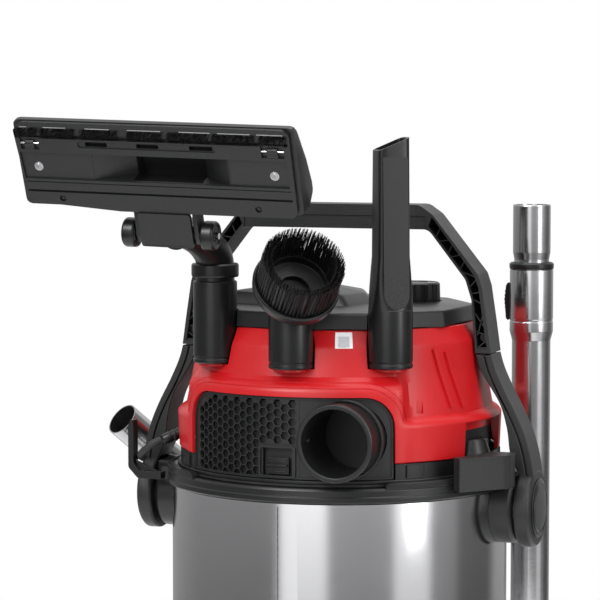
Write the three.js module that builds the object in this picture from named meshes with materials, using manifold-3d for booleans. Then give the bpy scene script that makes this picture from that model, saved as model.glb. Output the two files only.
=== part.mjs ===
// Wet and dry workshop vacuum with a steel drum, a lift-off motor head, a swinging carrying
// handle, parked tools, a parked telescopic tube and a clipped hand tube.
// Millimetres, +Z up. The origin is on the floor under the middle of the object's outline, its
// free mains cord left out. Every piece is built about the drum's axis, which stands at AXIS.
// The blow port faces -Y and the parked telescopic tube stands at +X, +Y.
import * as THREE from "three";
import { mergeVertices } from "three/addons/utils/BufferGeometryUtils.js";
import Module from "manifold-3d";

const wasm = await Module();
wasm.setup();

// Driving dimensions.
const AXIS = [33, 22, 0];
const GAP = 0.3; // air left between pieces that touch
const ROUND = 28; // facets of everything turned about the drum's axis
const LARGE = 20; // facets of wheels, discs and other wide round pieces
const MEDIUM = 12; // facets of tubes and bars
const SMALL = 8; // facets of pins and their holes
const FAR = 400; // longer than any cut needs to be

const DRUM_R = 160;
const DRUM_WALL = 1;
const DRUM_LOW = 80;
const DRUM_HIGH = 487.6;
const NECK_R = 157; // the drum narrows to this under the rim

const RIM_R = 165;
const RIM_LOW = 478;
const RIM_HIGH = 492;

const COVER_LOW = 512.5;
const COVER_HIGH = 632;
const COVER_WALL = 3;
const SHELF = 598; // floor of the three tool pockets
const PANEL_FROM = -134; // the vent panel's ends, degrees about the drum's axis
const PANEL_TO = -53;
const PANEL_LOW = 498.3;
const PANEL_HIGH = 573;
const PANEL_R = 152;
const PORT = { x: 51, z: 535, mouth: -172, back: -100, bore: 30.5, outer: 34.5 };

const TOOL_AT = { nozzle: [-85, -111], brush: [0, -142], crevice: [85, -111] };
const TOOL_R = 20.5;
const TOOL_BORE = 16;
const TOOL_LOW = SHELF + GAP;

const PIVOT_Z = 460;
const PIN_R = 8;
const BAIL_Y = 18; // half the handle's depth
const ARM_IN = 181;
const ARM_OUT = 196;
const HUB_FACE = 178.5; // the fixed pivot disc ends here, just inside the arm

const LOBE = 150; // x and y of each foot of the base tray
const TRAY_LOW = 62;
const WHEEL_R = 25;
const TRAIL = 18;

const TUBE_R = 19;
const TUBE_TOP = 679;
const CORD_R = 3.75;
const COIL = { x: 0, y: 245, mean: 45, half: 15.6 };

const HEAD_TILT = THREE.MathUtils.degToRad(25); // the parked floor head leans from upright
const HEAD_ROLL = THREE.MathUtils.degToRad(1.6); // and its left end stands a little higher
const AXLE = { x: -96, y: -193, z: 721.5 }; // the floor head's hinge and its wheels
const HAND_CLIP = { x: -190, y: 150, z: 350 };

const rad = THREE.MathUtils.degToRad;

// A closed geometry as a solid that can be joined and cut.
function solid(geometry) {
  const bare = geometry.index ? geometry.toNonIndexed() : geometry.clone();
  bare.deleteAttribute("normal");
  bare.deleteAttribute("uv");
  const merged = mergeVertices(bare, 1e-3);
  const corners = merged.attributes.position.array;
  const faces = new Uint32Array(merged.index.array);
  const made = new wasm.Manifold(new wasm.Mesh({ numProp: 3, vertProperties: corners, triVerts: faces }));
  if (made.volume() > 0) return made;
  for (let i = 0; i < faces.length; i += 3) [faces[i + 1], faces[i + 2]] = [faces[i + 2], faces[i + 1]];
  return new wasm.Manifold(new wasm.Mesh({ numProp: 3, vertProperties: corners, triVerts: faces }));
}

function join(...solids) {
  return solids.reduce((all, one) => all.add(one));
}

function cut(from, ...solids) {
  return solids.reduce((left, one) => left.subtract(one), from);
}

// A profile of [radius, height] points turned about the Z axis.
function turned(profile, facets = ROUND) {
  const points = profile.map(([r, z]) => new THREE.Vector2(r, z));
  return solid(new THREE.LatheGeometry(points, facets).rotateX(Math.PI / 2));
}

function closedRing(profile, facets = ROUND) {
  return turned([...profile, profile[0]], facets);
}

function ring(inner, outer, low, high, facets = ROUND) {
  return closedRing([[inner, low], [outer, low], [outer, high], [inner, high]], facets);
}

function disc(outer, low, high, facets = ROUND) {
  return turned([[0, low], [outer, low], [outer, high], [0, high]], facets);
}

// A straight round bar from one point to another, tapered when endRadius is given.
function rod(radius, from, to, facets = MEDIUM, endRadius = radius) {
  const start = new THREE.Vector3(...from);
  const end = new THREE.Vector3(...to);
  const along = end.clone().sub(start);
  const bar = new THREE.CylinderGeometry(endRadius, radius, along.length(), facets);
  const turn = new THREE.Quaternion().setFromUnitVectors(new THREE.Vector3(0, 1, 0), along.normalize());
  bar.applyQuaternion(turn);
  const middle = start.add(end).multiplyScalar(0.5);
  return solid(bar.translate(middle.x, middle.y, middle.z));
}

function pipe(outer, inner, from, to, facets = MEDIUM) {
  const start = new THREE.Vector3(...from);
  const end = new THREE.Vector3(...to);
  const over = end.clone().sub(start).setLength(1);
  const bore = rod(inner, start.sub(over).toArray(), end.add(over).toArray(), facets);
  return cut(rod(outer, from, to, facets), bore);
}

function block(low, high) {
  const size = high.map((value, i) => value - low[i]);
  const box = new THREE.BoxGeometry(...size);
  return solid(box.translate(...low.map((value, i) => value + size[i] / 2)));
}

// Flat outlines pushed along the third axis. "xz" outlines run from y = low to y = high.
const PLANES = {
  xy: new THREE.Matrix4(),
  xz: new THREE.Matrix4().makeBasis(
    new THREE.Vector3(1, 0, 0), new THREE.Vector3(0, 0, 1), new THREE.Vector3(0, -1, 0)),
  yz: new THREE.Matrix4().makeBasis(
    new THREE.Vector3(0, 1, 0), new THREE.Vector3(0, 0, 1), new THREE.Vector3(1, 0, 0)),
};

function plate(outline, plane, low, high, curveSegments = 8) {
  const shape = outline instanceof THREE.Shape
    ? outline
    : new THREE.Shape(outline.map(([a, b]) => new THREE.Vector2(a, b)));
  const made = new THREE.ExtrudeGeometry(shape, { depth: high - low, bevelEnabled: false, curveSegments });
  made.translate(0, 0, plane === "xz" ? -high : low);
  return solid(made.applyMatrix4(PLANES[plane]));
}

// The part of space between two bearings about the Z axis, in degrees.
function wedge(from, to, low, high) {
  const steps = Math.ceil((to - from) / 40);
  const rim = [];
  for (let i = 0; i <= steps; i += 1) {
    const angle = rad(from + ((to - from) * i) / steps);
    rim.push([FAR * Math.cos(angle), FAR * Math.sin(angle)]);
  }
  return plate([[0, 0], ...rim], "xy", low, high);
}

// The same closed outline moved inwards by a distance.
function inset(outline, distance) {
  return outline.map((here, i) => {
    const before = outline[(i + outline.length - 1) % outline.length];
    const after = outline[(i + 1) % outline.length];
    const a = new THREE.Vector2(here[0] - before[0], here[1] - before[1]).normalize();
    const b = new THREE.Vector2(after[0] - here[0], after[1] - here[1]).normalize();
    const reach = distance / (1 + a.dot(b));
    return [here[0] - (a.y + b.y) * reach, here[1] + (a.x + b.x) * reach];
  });
}

// A round section pushed along a smooth curve through the points.
function sweep(radius, points, facets, steps) {
  const path = new THREE.CatmullRomCurve3(points.map((p) => new THREE.Vector3(...p)), false, "centripetal");
  const section = new THREE.Shape();
  for (let i = 0; i < facets; i += 1) {
    const angle = (2 * Math.PI * i) / facets;
    const put = i ? "lineTo" : "moveTo";
    section[put](radius * Math.cos(angle), radius * Math.sin(angle));
  }
  return solid(new THREE.ExtrudeGeometry(section, { steps, extrudePath: path }));
}

function mirroredX(made) {
  return made.mirror([1, 0, 0]);
}

const finishes = {
  blackPlastic: { color: 0x2b2c2e, roughness: 0.55, metalness: 0 },
  softBlack: { color: 0x1c1d1f, roughness: 0.75, metalness: 0 },
  redPlastic: { color: 0xd3141c, roughness: 0.35, metalness: 0 },
  brushedSteel: { color: 0xb9babc, roughness: 0.35, metalness: 1 },
  chrome: { color: 0xd8dadd, roughness: 0.15, metalness: 1 },
  rubber: { color: 0x161617, roughness: 0.9, metalness: 0 },
  bristle: { color: 0x0f0f10, roughness: 0.95, metalness: 0 },
  paper: { color: 0xd8d2c2, roughness: 0.95, metalness: 0 },
  greyPlastic: { color: 0x77797c, roughness: 0.6, metalness: 0 },
};

const vacuum = new THREE.Group();
vacuum.position.set(...AXIS);

// One named piece of the object.
function piece(name, made, finish) {
  const { vertProperties, triVerts } = made.getMesh();
  const geometry = new THREE.BufferGeometry();
  geometry.setAttribute("position", new THREE.BufferAttribute(new Float32Array(vertProperties), 3));
  geometry.setIndex(new THREE.BufferAttribute(new Uint32Array(triVerts), 1));
  const mesh = new THREE.Mesh(geometry, new THREE.MeshStandardMaterial(finishes[finish]));
  mesh.name = name;
  vacuum.add(mesh);
}

// ---- tank ----

const INLET = { z: 395, outer: 29, bore: 24, end: 205 };
const DRAIN = { z: 134, outer: 16, bore: 11, end: -178 };

// The rolled and seam-welded wall.
function drum() {
  const inner = DRUM_R - DRUM_WALL;
  const shell = closedRing([
    [DRUM_R, DRUM_LOW + GAP], [DRUM_R, 448], [NECK_R, 470], [NECK_R, DRUM_HIGH],
    [NECK_R - DRUM_WALL, DRUM_HIGH], [NECK_R - DRUM_WALL, 470], [inner, 448], [inner, DRUM_LOW + GAP],
  ]);
  const inletHole = rod(INLET.outer + 0.4, [0, 120, INLET.z], [0, 200, INLET.z]);
  const drainHole = rod(DRAIN.outer + 0.4, [0, -120, DRAIN.z], [0, -200, DRAIN.z]);
  return cut(shell, inletHole, drainHole);
}

// The pressed bottom, set into the wall's lower end.
function drumFloor() {
  const outer = DRUM_R - DRUM_WALL - 0.4;
  return turned([
    [0, DRUM_LOW], [outer - 4, DRUM_LOW], [outer, DRUM_LOW + 4], [outer, DRUM_LOW + 14],
    [outer - 1, DRUM_LOW + 14], [outer - 1, DRUM_LOW + 4.4], [outer - 4.4, DRUM_LOW + 1],
    [0, DRUM_LOW + 1],
  ]);
}

function rimCollar() {
  const skirt = NECK_R + 0.4;
  return closedRing([
    [skirt, RIM_LOW], [RIM_R, RIM_LOW], [RIM_R, 489], [163, RIM_HIGH], [150, RIM_HIGH],
    [150, 488], [skirt, 488],
  ]);
}

function inletFitting() {
  const z = INLET.z;
  const flange = rod(44, [0, 130, z], [0, 167, z], LARGE);
  const spout = rod(INLET.outer, [0, 135, z], [0, INLET.end, z]);
  const lip = rod(INLET.outer + 4, [0, INLET.end - 8, z], [0, INLET.end, z]);
  const outside = cut(join(flange, lip), disc(DRUM_R + 0.4, 0, 600));
  return cut(join(outside, spout), rod(INLET.bore, [0, 120, z], [0, 220, z]));
}

function drainFitting() {
  const z = DRAIN.z;
  const flange = cut(rod(25, [0, -130, z], [0, -166, z]), disc(DRUM_R + 0.4, 0, 600));
  const spout = rod(DRAIN.outer, [0, -140, z], [0, DRAIN.end, z]);
  return cut(join(flange, spout), rod(DRAIN.bore, [0, -130, z], [0, -190, z]));
}

function drainCap() {
  const z = DRAIN.z;
  const face = DRAIN.end - GAP;
  let cap = join(
    rod(20, [0, face, z], [0, face - 12, z], MEDIUM),
    rod(DRAIN.bore - 0.7, [0, face + 14, z], [0, face - 1, z], MEDIUM),
  );
  for (let i = 0; i < 8; i += 1) {
    const angle = (i * Math.PI) / 4;
    const at = [20 * Math.cos(angle), z + 20 * Math.sin(angle)];
    cap = cut(cap, rod(2.5, [at[0], face - 3, at[1]], [at[0], face - 13, at[1]], 8));
  }
  return cap;
}

function baseTray() {
  const top = DRUM_LOW - GAP;
  let tray = join(disc(172, top - 5, top), ring(162, 172, TRAY_LOW + 6, 86));
  const corners = [[1, 1], [-1, 1], [-1, -1], [1, -1]];
  for (const [sx, sy] of corners) {
    const foot = rod(34, [sx * LOBE, sy * LOBE, TRAY_LOW], [sx * LOBE, sy * LOBE, top], MEDIUM);
    const web = plate([[sx * 70, sy * 120], [sx * 120, sy * 70], [sx * 172, sy * 124], [sx * 124, sy * 172]],
      "xy", top - 7, top);
    tray = join(tray, foot, web);
  }
  tray = join(tray, rod(27, [LOBE, LOBE, top - 2], [LOBE, LOBE, 128], MEDIUM));
  tray = cut(tray, rod(TUBE_R + 0.5, [LOBE, LOBE, 84], [LOBE, LOBE, 140], MEDIUM));
  for (const [sx, sy] of corners) {
    tray = cut(tray, rod(5.7, [sx * LOBE, sy * LOBE, 40], [sx * LOBE, sy * LOBE, 76], SMALL));
  }
  return tray;
}

function casterFork(sx, sy) {
  const [x, y] = [sx * LOBE, sy * LOBE];
  const hub = y - TRAIL;
  const top = TRAY_LOW - GAP;
  const stem = rod(5, [x, y, top - 4], [x, y, 75.5], SMALL);
  const plateau = rod(19, [x, y, top - 5], [x, y, top], MEDIUM);
  const cheek = [[hub - 8, WHEEL_R - 7], [hub + 8, WHEEL_R - 7], [y + 15, top - 1], [y - 17, top - 1]];
  const cheeks = [-1, 1].map((side) => {
    const edge = side > 0 ? [x + 11.5, x + 14] : [x - 14, x - 11.5];
    return plate(cheek, "yz", edge[0], edge[1]);
  });
  const axle = rod(4, [x - 13, hub, WHEEL_R], [x + 13, hub, WHEEL_R], SMALL);
  return join(stem, plateau, ...cheeks, axle);
}

function casterWheel(sx, sy) {
  const [x, hub] = [sx * LOBE, sy * LOBE - TRAIL];
  const tread = WHEEL_R - 0.02;
  const [bore, half] = [4.4, 11];
  const wheel = closedRing([
    [bore, -half], [tread - 3, -half], [tread, 3 - half], [tread, half - 3], [tread - 3, half], [bore, half],
  ], 20);
  return wheel.rotate([0, 90, 0]).translate([x, hub, WHEEL_R]);
}

// A handle's pivot: a disc beside the drum, with a latch bracket in front of it on one side.
function pivotHousing(hasBracket) {
  const hub = rod(34, [150, 0, PIVOT_Z], [HUB_FACE, 0, PIVOT_Z], LARGE);
  const root = block([150, -22, 470], [HUB_FACE, 22, 492]);
  let body = join(hub, root);
  if (hasBracket) {
    const bracket = plate([[120, -80], [143, -103], [184, -62], [184, -40], [150, -40]], "xy", 485, 526);
    const web = block([150, -60, 470], [HUB_FACE, 0, 493]);
    body = join(body, bracket, web);
  }
  return cut(body, disc(RIM_R + 0.4, 477.6, 600), disc(DRUM_R + 0.4, 400, 480),
    rod(PIN_R + 0.5, [140, 0, PIVOT_Z], [200, 0, PIVOT_Z]));
}

function pivotPin() {
  return join(
    rod(PIN_R, [161.2, 0, PIVOT_Z], [ARM_OUT - 2, 0, PIVOT_Z]),
    rod(13, [HUB_FACE + 0.4, 0, PIVOT_Z], [ARM_IN - 0.4, 0, PIVOT_Z]),
  );
}

function cableHook() {
  const arm = plate([[-150, 478.5], [-185, 478.5], [-194, 488], [-194, 530], [-192, 535], [-190, 535],
    [-188, 530], [-188, 492], [-184, 486], [-150, 486]], "xz", -61, -49);
  return cut(arm, disc(RIM_R + 0.4, 400, 600));
}

// The cradle for the bent hand tube, on an arm from the rim.
function handTubeClip() {
  const { x, y, z } = HAND_CLIP;
  const out = new THREE.Vector2(x, y).normalize();
  const side = new THREE.Vector2(-out.y, out.x);
  const spot = (r, s) => [out.x * r + side.x * s, out.y * r + side.y * s];
  const centre = Math.hypot(x, y);
  const strut = plate([spot(155, -9), spot(centre - 8, -9), spot(centre - 8, 9), spot(155, 9)],
    "xy", z, z + 14);
  const ringAround = cut(
    join(rod(22, [x, y, z], [x, y, z + 26], MEDIUM), strut),
    rod(18.8, [x, y, z - 1], [x, y, z + 60], MEDIUM),
    plate([spot(centre, -18.6), spot(centre + 40, -18.6), spot(centre + 40, 18.6), spot(centre, 18.6)],
      "xy", z - 1, z + 60),
    plate([spot(centre + 6, -30), spot(centre + 40, -30), spot(centre + 40, 30), spot(centre + 6, 30)],
      "xy", z - 1, z + 60),
  );
  return cut(ringAround, disc(DRUM_R + 0.4, 0, 600));
}

// ---- carrying handle ----

const BOW_OUTER = [[154, 605.3], [150, 634], [145, 667], [141, 679], [97, 734], [84, 743]];
const BOW_INNER = [[93, 720], [129, 674], [135, 655], [139, 605.3]];
const ARM_OUTLINE = [
  [139, 604.9], [148, 582], [164, 558], [170, 528], [174, 505], [181, 497], [181, 462],
  [196, 462], [196, 490], [190, 522], [179, 548], [166, 573], [154, 604.9],
];
const BOW_WALL = 4;

function bailBow() {
  const flip = (points) => points.map(([x, z]) => [-x, z]).reverse();
  const outline = [...BOW_OUTER, ...flip(BOW_OUTER), ...flip(BOW_INNER), ...BOW_INNER];
  const bow = plate(outline, "xz", -BAIL_Y, BAIL_Y);
  const channel = plate(inset(outline, BOW_WALL), "xz", -BAIL_Y - 1, BAIL_Y - BOW_WALL);
  return cut(bow, channel);
}

function bailArm() {
  const arm = join(
    plate(ARM_OUTLINE, "xz", -BAIL_Y, BAIL_Y),
    rod(37, [ARM_IN, 0, PIVOT_Z], [ARM_OUT, 0, PIVOT_Z], LARGE),
  );
  return cut(arm, rod(PIN_R + 0.5, [ARM_IN - 5, 0, PIVOT_Z], [ARM_OUT + 1, 0, PIVOT_Z]));
}

function pivotCap() {
  return rod(28, [ARM_OUT + GAP, 0, PIVOT_Z], [ARM_OUT + 2.6, 0, PIVOT_Z], LARGE, 25);
}

// ---- motor head ----

function headBase() {
  const pan = closedRing([
    [40, 470], [149, 470], [149, 491.8], [145.4, 494.6], [155, 494.6], [155, 498], [152, 498],
    [152, 512], [148, 512], [148, 498], [145, 498], [145, 474], [40, 474],
  ]);
  const panelGap = wedge(PANEL_FROM - 0.4, PANEL_TO + 0.4, 498, 513);
  const ledge = cut(rod(20, [138, -30, 508], [138, -30, 528], MEDIUM, 14), disc(149, 400, 600));
  return join(cut(pan, panelGap), ledge);
}

// The cover's outside, grown by a distance.
function coverBody(grow, low, high) {
  const at = (r, z) => [Math.max(r + grow, 0), z];
  const general = turned([
    [0, low], at(153, low), at(154.5, 546), at(152, 550), at(146, 553), at(139, 592),
    at(127, high), [0, high],
  ]);
  const brow = turned([
    [0, low], at(155, low), at(155, 578), at(150, 585), at(143, 588), at(141, 600), at(135, 615),
    at(127, high), [0, high],
  ]);
  const side = THREE.MathUtils.radToDeg(grow / 150);
  return join(general, brow.intersect(wedge(-141 - side, -47 + side, low - 1, high + 1)));
}

// The vent panel's outline, standing through the cover, grown by a distance.
function panelZone(grow, inner, outer) {
  const turn = THREE.MathUtils.radToDeg(grow / PANEL_R);
  const [from, to] = [PANEL_FROM - turn, PANEL_TO + turn];
  const top = PANEL_HIGH + grow;
  const low = grow ? 490 : PANEL_LOW;
  const corner = 28;
  const span = THREE.MathUtils.radToDeg(corner / PANEL_R);
  let zone = ring(inner, outer, low, top).intersect(wedge(from, to, low - 1, top + 1));
  for (const [end, way] of [[from, 1], [to, -1]]) {
    const centre = rad(end + way * span);
    const edges = [end - way * 2, end + way * span].sort((a, b) => a - b);
    const along = [Math.cos(centre), Math.sin(centre)];
    const roller = rod(corner, [100 * along[0], 100 * along[1], top - corner],
      [200 * along[0], 200 * along[1], top - corner], LARGE);
    zone = cut(zone, cut(wedge(edges[0], edges[1], top - corner, top + 2), roller));
  }
  return zone;
}

const GLAND = { from: [-134, -50, 527], to: [-158, -64, 517] };

function headCover() {
  let cover = cut(coverBody(0, COVER_LOW, COVER_HIGH),
    coverBody(-COVER_WALL, COVER_LOW - 1, COVER_HIGH + 1));
  for (const [x, y] of Object.values(TOOL_AT)) {
    const out = new THREE.Vector2(x, y).normalize();
    const post = rod(TOOL_R + 4.5, [x, y, SHELF - 5], [x, y, COVER_HIGH - 4], MEDIUM)
      .intersect(coverBody(0, SHELF - 6, COVER_HIGH - 3));
    const pocket = join(
      rod(TOOL_R + 1.5, [x, y, SHELF], [x, y, COVER_HIGH + 5], MEDIUM),
      rod(TOOL_R + 1.5, [x + out.x * 25, y + out.y * 25, SHELF],
        [x + out.x * 25, y + out.y * 25, 650], MEDIUM),
    );
    const spigot = rod(TOOL_BORE - 0.8, [x, y, SHELF - 4], [x, y, SHELF + 22], MEDIUM);
    cover = join(cut(join(cover, post), pocket), spigot);
  }
  cover = cut(cover, panelZone(0.6, 130, 200));
  const notch = wedge(-23, 8, 500, 540).subtract(disc(120, 499, 541));
  cover = cut(cover, notch);
  return cut(cover, rod(8, GLAND.from, GLAND.to, 16));
}

function ventPanel() {
  let panel = panelZone(0, PANEL_R - 3.5, PANEL_R);
  panel = cut(panel, rod(PORT.outer + 0.4, [PORT.x, -60, PORT.z], [PORT.x, -200, PORT.z], LARGE));
  const rows = 3;
  const columns = 4;
  for (let row = 0; row < rows; row += 1) {
    for (let column = 0; column < columns; column += 1) {
      const bearing = rad(-127 + column * 8.5 + (row % 2) * 4.2);
      const z = 523 + row * 17;
      const to = [180 * Math.cos(bearing), 180 * Math.sin(bearing), z];
      panel = cut(panel, rod(8, [0, 0, z], to, 6));
    }
  }
  return cut(panel, wedge(-100, -87, 500, 527));
}

function cleaningSlider() {
  const back = ring(PANEL_R - 3, PANEL_R - 1, 502, 518).intersect(wedge(-99.7, -87.3, 400, 600));
  const rib = ring(PANEL_R - 2, PANEL_R + 2.5, 508, 512).intersect(wedge(-98, -89, 400, 600));
  return join(back, rib);
}

function blowPort() {
  const { x, z, mouth, back, bore, outer } = PORT;
  const tube = rod(outer, [x, mouth, z], [x, back, z], LARGE);
  const lip = rod(outer + 1.5, [x, mouth, z], [x, mouth + 6, z], LARGE);
  return cut(join(tube, lip), rod(bore, [x, mouth - 1, z], [x, back + 1, z], LARGE));
}

const KNOB = { x: 60, y: 52, r: 24 };

function topDeck() {
  const low = COVER_HIGH + GAP;
  const facets = 10;
  const outside = turned([
    [0, low], [126, low], [122, 648], [112, 658], [60, 667], [0, 668],
  ], facets);
  const inside = turned([
    [0, low - 1], [121, low - 1], [117, 645], [109, 654], [60, 663], [0, 664],
  ], facets);
  const seat = rod(KNOB.r + 6, [KNOB.x, KNOB.y, 643], [KNOB.x, KNOB.y, 655], MEDIUM);
  const well = rod(KNOB.r + 2, [KNOB.x, KNOB.y, 646], [KNOB.x, KNOB.y, 700], LARGE);
  let deck = cut(join(cut(outside, inside), seat), well);
  for (const [x, y] of Object.values(TOOL_AT)) {
    deck = cut(deck, rod(TOOL_R + 1.5, [x, y, low - 1], [x, y, 680]));
  }
  return cut(deck, rod(4.6, [KNOB.x, KNOB.y, 630], [KNOB.x, KNOB.y, 660], SMALL));
}

function modeKnob() {
  const { x, y, r } = KNOB;
  const base = 646 + GAP;
  const skirt = rod(r, [x, y, base], [x, y, 661], LARGE, r - 2);
  const bar = block([x - r, y - 5, base + 6], [x + r, y + 5, 666]);
  const grip = bar.intersect(rod(r - 2, [x, y, 640], [x, y, 680], LARGE));
  return join(skirt, grip, rod(4, [x, y, 634], [x, y, base + 1], SMALL));
}

const FAN = { low: 479, high: 499, radius: 50 };

function motorHousing() {
  const can = turned([
    [0, 474.3], [66, 474.3], [66, 512], [52, 520], [52, 575], [40, 590], [0, 590],
  ], LARGE);
  const chamber = disc(FAN.radius + 4, FAN.low - 1.5, FAN.high + 2, LARGE);
  const eye = disc(28, 470, 480, LARGE);
  const outlet = block([-60, 20, FAN.low], [-20, 90, FAN.high]);
  return cut(can, chamber, eye, outlet);
}

function impeller() {
  let wheel = join(disc(FAN.radius, FAN.low, FAN.low + 3, LARGE), disc(9, FAN.low, FAN.high, SMALL));
  for (let i = 0; i < 8; i += 1) {
    const blade = block([6, -1.2, FAN.low + 1], [FAN.radius - 1, 1.2, FAN.high - 3]);
    wheel = join(wheel, blade.rotate([0, 0, i * 45]));
  }
  return wheel;
}

function floatCage() {
  const cage = ring(42, 46, 384, 468, MEDIUM);
  const foot = disc(46, 382, 386, MEDIUM);
  const rim = ring(38, 60, 464, 469.7, LARGE);
  let body = join(cage, foot, rim);
  for (let i = 0; i < 3; i += 1) {
    body = cut(body, block([-14, -60, 392], [14, 60, 458]).rotate([0, 0, i * 60]));
  }
  return body;
}

function floatBody() {
  return turned([[0, 386.4], [28, 386.4], [36, 392], [36, 414], [24, 424], [0, 424]], MEDIUM);
}

function filterCartridge() {
  return ring(78, 92, 345, 469.7, LARGE);
}

function headGasket() {
  return ring(150.5, 154.5, RIM_HIGH + 0.2, 494.4);
}

function cableGland() {
  const [from, to] = [GLAND.from, GLAND.to];
  return rod(7, from, to, 16, 5);
}

// ---- tools parked on the head ----

// A hollow round socket standing on the shelf at one of the tool places.
function toolSocket([x, y], high) {
  return {
    outer: rod(TOOL_R, [x, y, TOOL_LOW], [x, y, high]),
    bore: rod(TOOL_BORE, [x, y, TOOL_LOW - 1], [x, y, high - 20]),
  };
}

// A solid made in the floor head's own frame, put in its parked place. Its origin is the
// middle of the hinge, x runs along the head, y from the sole to the back and z up the sole.
function leaned(made) {
  const { radToDeg } = THREE.MathUtils;
  return made.rotate([radToDeg(HEAD_TILT), 0, 0]).rotate([0, radToDeg(HEAD_ROLL), 0])
    .translate([AXLE.x, AXLE.y, AXLE.z]);
}

// The sole's plane and lower edge, and the head's size, in that frame.
const HEAD = { half: 133, face: -9.3, edge: 29.7, depth: 36, tall: 83, sole: 3, middle: -1 };

function nozzleNeck() {
  const [x, y] = TOOL_AT.nozzle;
  const { outer, bore } = toolSocket(TOOL_AT.nozzle, 675);
  const waist = rod(18.5, [x, y, 670], [x, y, 694]);
  const cuff = rod(22, [x, y, 677], [x, y, 691]);
  const reach = rod(18, [x, y, 686], [AXLE.x, AXLE.y + 10, AXLE.z - 3], MEDIUM, 14);
  const hub = rod(14, [-25, 0, 0], [25, 0, 0]);
  const cover = block([-25, HEAD.face, -3], [25, HEAD.face + 4, HEAD.edge - 2.8]);
  const behind = block([-25, HEAD.face, -3], [25, 0, 10]);
  const swivel = leaned(cut(join(hub, cover, behind), rod(3.4, [-40, 0, 0], [40, 0, 0], SMALL)));
  const duct = join(
    rod(12, [x, y, 650], [x, y, 692]),
    rod(12, [x, y, 686], [AXLE.x, AXLE.y + 24, AXLE.z - 7], MEDIUM, 8),
  );
  return cut(join(outer, waist, cuff, cut(reach, leaned(rod(3.4, [-40, 0, 0], [40, 0, 0], SMALL))), swivel),
    bore, duct);
}

function nozzleHead() {
  const { half, face, edge, depth, tall, sole, middle } = HEAD;
  const front = face + sole + GAP;
  const back = face + depth;
  const top = edge + tall;
  const outline = [[front, edge], [back - 8, edge], [back, edge + 12], [back, top - 16],
    [back - 12, top], [front, top]];
  const shell = plate(outline, "yz", middle - half, middle + half);
  const ear = (x) => join(
    plate([[front + 0.6, edge + 1], [front + 18, edge + 1], [7, 0], [-7, 0]], "yz", x, x + 4),
    rod(8, [x, 0, 0], [x + 4, 0, 0]),
  );
  const channel = plate(
    [[face, edge + 14], [face, edge + 45], [face + 22, edge + 37], [face + 22, edge + 20]],
    "yz", middle - 112, middle + 112);
  const axle = rod(3.4, [-50, 0, 0], [50, 0, 0], SMALL);
  return leaned(cut(join(shell, ear(-30), ear(26)), channel, axle));
}

function nozzleSole() {
  const { half, face, edge, tall, sole, middle } = HEAD;
  const [low, high] = [edge + 2, edge + tall - 2];
  const skin = block([middle + 2 - half, face, low], [middle + half - 2, face + sole, high]);
  const mouth = block([middle - 112, face - 1, edge + 14], [middle + 112, face + sole + 1, edge + 45]);
  const groove = block([middle + 3 - half, face - 1, high - 14], [middle + half - 3, face + 1.6, high - 6]);
  return leaned(cut(skin, mouth, groove));
}

function nozzleBrushStrip() {
  const { half, face, edge, tall, middle } = HEAD;
  const low = edge + tall - 15.6;
  return leaned(block([middle + 4 - half, face - 4, low], [middle + half - 4, face + 1.3, low + 7.2]));
}

function nozzleAxle() {
  return leaned(rod(3, [-46, 0, 0], [46, 0, 0], SMALL));
}

function nozzleWheel(side) {
  const wheel = rod(13.5, [side * 31.5, 0, 0], [side * 44, 0, 0], LARGE);
  return leaned(cut(wheel, rod(3.4, [side * 20, 0, 0], [side * 60, 0, 0], SMALL)));
}

const BRUSH_WAY = new THREE.Vector3(0.44, -0.647, 0.622).normalize();
const BRUSH_BEND = 661;

// A point on the round brush's tilted axis, that far from the bend over its socket.
function brushPoint(reach) {
  const [x, y] = TOOL_AT.brush;
  return [x + BRUSH_WAY.x * reach, y + BRUSH_WAY.y * reach, BRUSH_BEND + BRUSH_WAY.z * reach];
}

const BRISTLE_FOOT = 26;

function brushBody() {
  const [x, y] = TOOL_AT.brush;
  const { outer, bore } = toolSocket(TOOL_AT.brush, 648);
  const bend = rod(TOOL_R, [x, y, 640], [x, y, BRUSH_BEND + 6]);
  const throat = rod(19, brushPoint(0), brushPoint(10));
  const flare = rod(20, brushPoint(3), brushPoint(15), LARGE, 37);
  const cup = rod(40, brushPoint(13), brushPoint(BRISTLE_FOOT), LARGE);
  const body = join(outer, cut(bend, rod(60, brushPoint(10), brushPoint(60), LARGE)), throat, flare, cup);
  const inside = join(
    rod(14, [x, y, 630], [x, y, BRUSH_BEND + 1]),
    rod(14, brushPoint(-2), brushPoint(60)),
    rod(29, brushPoint(17), brushPoint(60), LARGE),
  );
  return cut(body, bore, inside);
}

function brushBristles() {
  return pipe(37, 29.5, brushPoint(BRISTLE_FOOT + GAP), brushPoint(BRISTLE_FOOT + 35), LARGE);
}

function creviceTool() {
  const [x, y] = TOOL_AT.crevice;
  const facing = THREE.MathUtils.radToDeg(Math.atan2(y, x));
  const { outer } = toolSocket(TOOL_AT.crevice, 652);
  const [thick, wide] = [11.5, 15];
  const blade = plate([[-thick, 640], [thick, 640], [thick, 812], [-thick, 800]], "xz", -wide, wide);
  const hollow = plate([[2 - thick, 630], [thick - 2, 630], [thick - 2, 830], [2 - thick, 830]],
    "xz", 2 - wide, wide - 2);
  const placed = (made) => made.rotate([0, 0, facing]).translate([x, y, 0]);
  const bore = rod(TOOL_BORE, [x, y, TOOL_LOW - 1], [x, y, 645]);
  const tip = block([-40, -40, 0], [40, 40, 60]).rotate([22, 0, 0]).translate([0, 0, 802]);
  return cut(join(outer, placed(blade)), placed(hollow), bore, placed(tip));
}

// ---- telescopic tube ----

function upright(outer, inner, low, high) {
  return pipe(outer, inner, [LOBE, LOBE, low], [LOBE, LOBE, high]);
}

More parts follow.
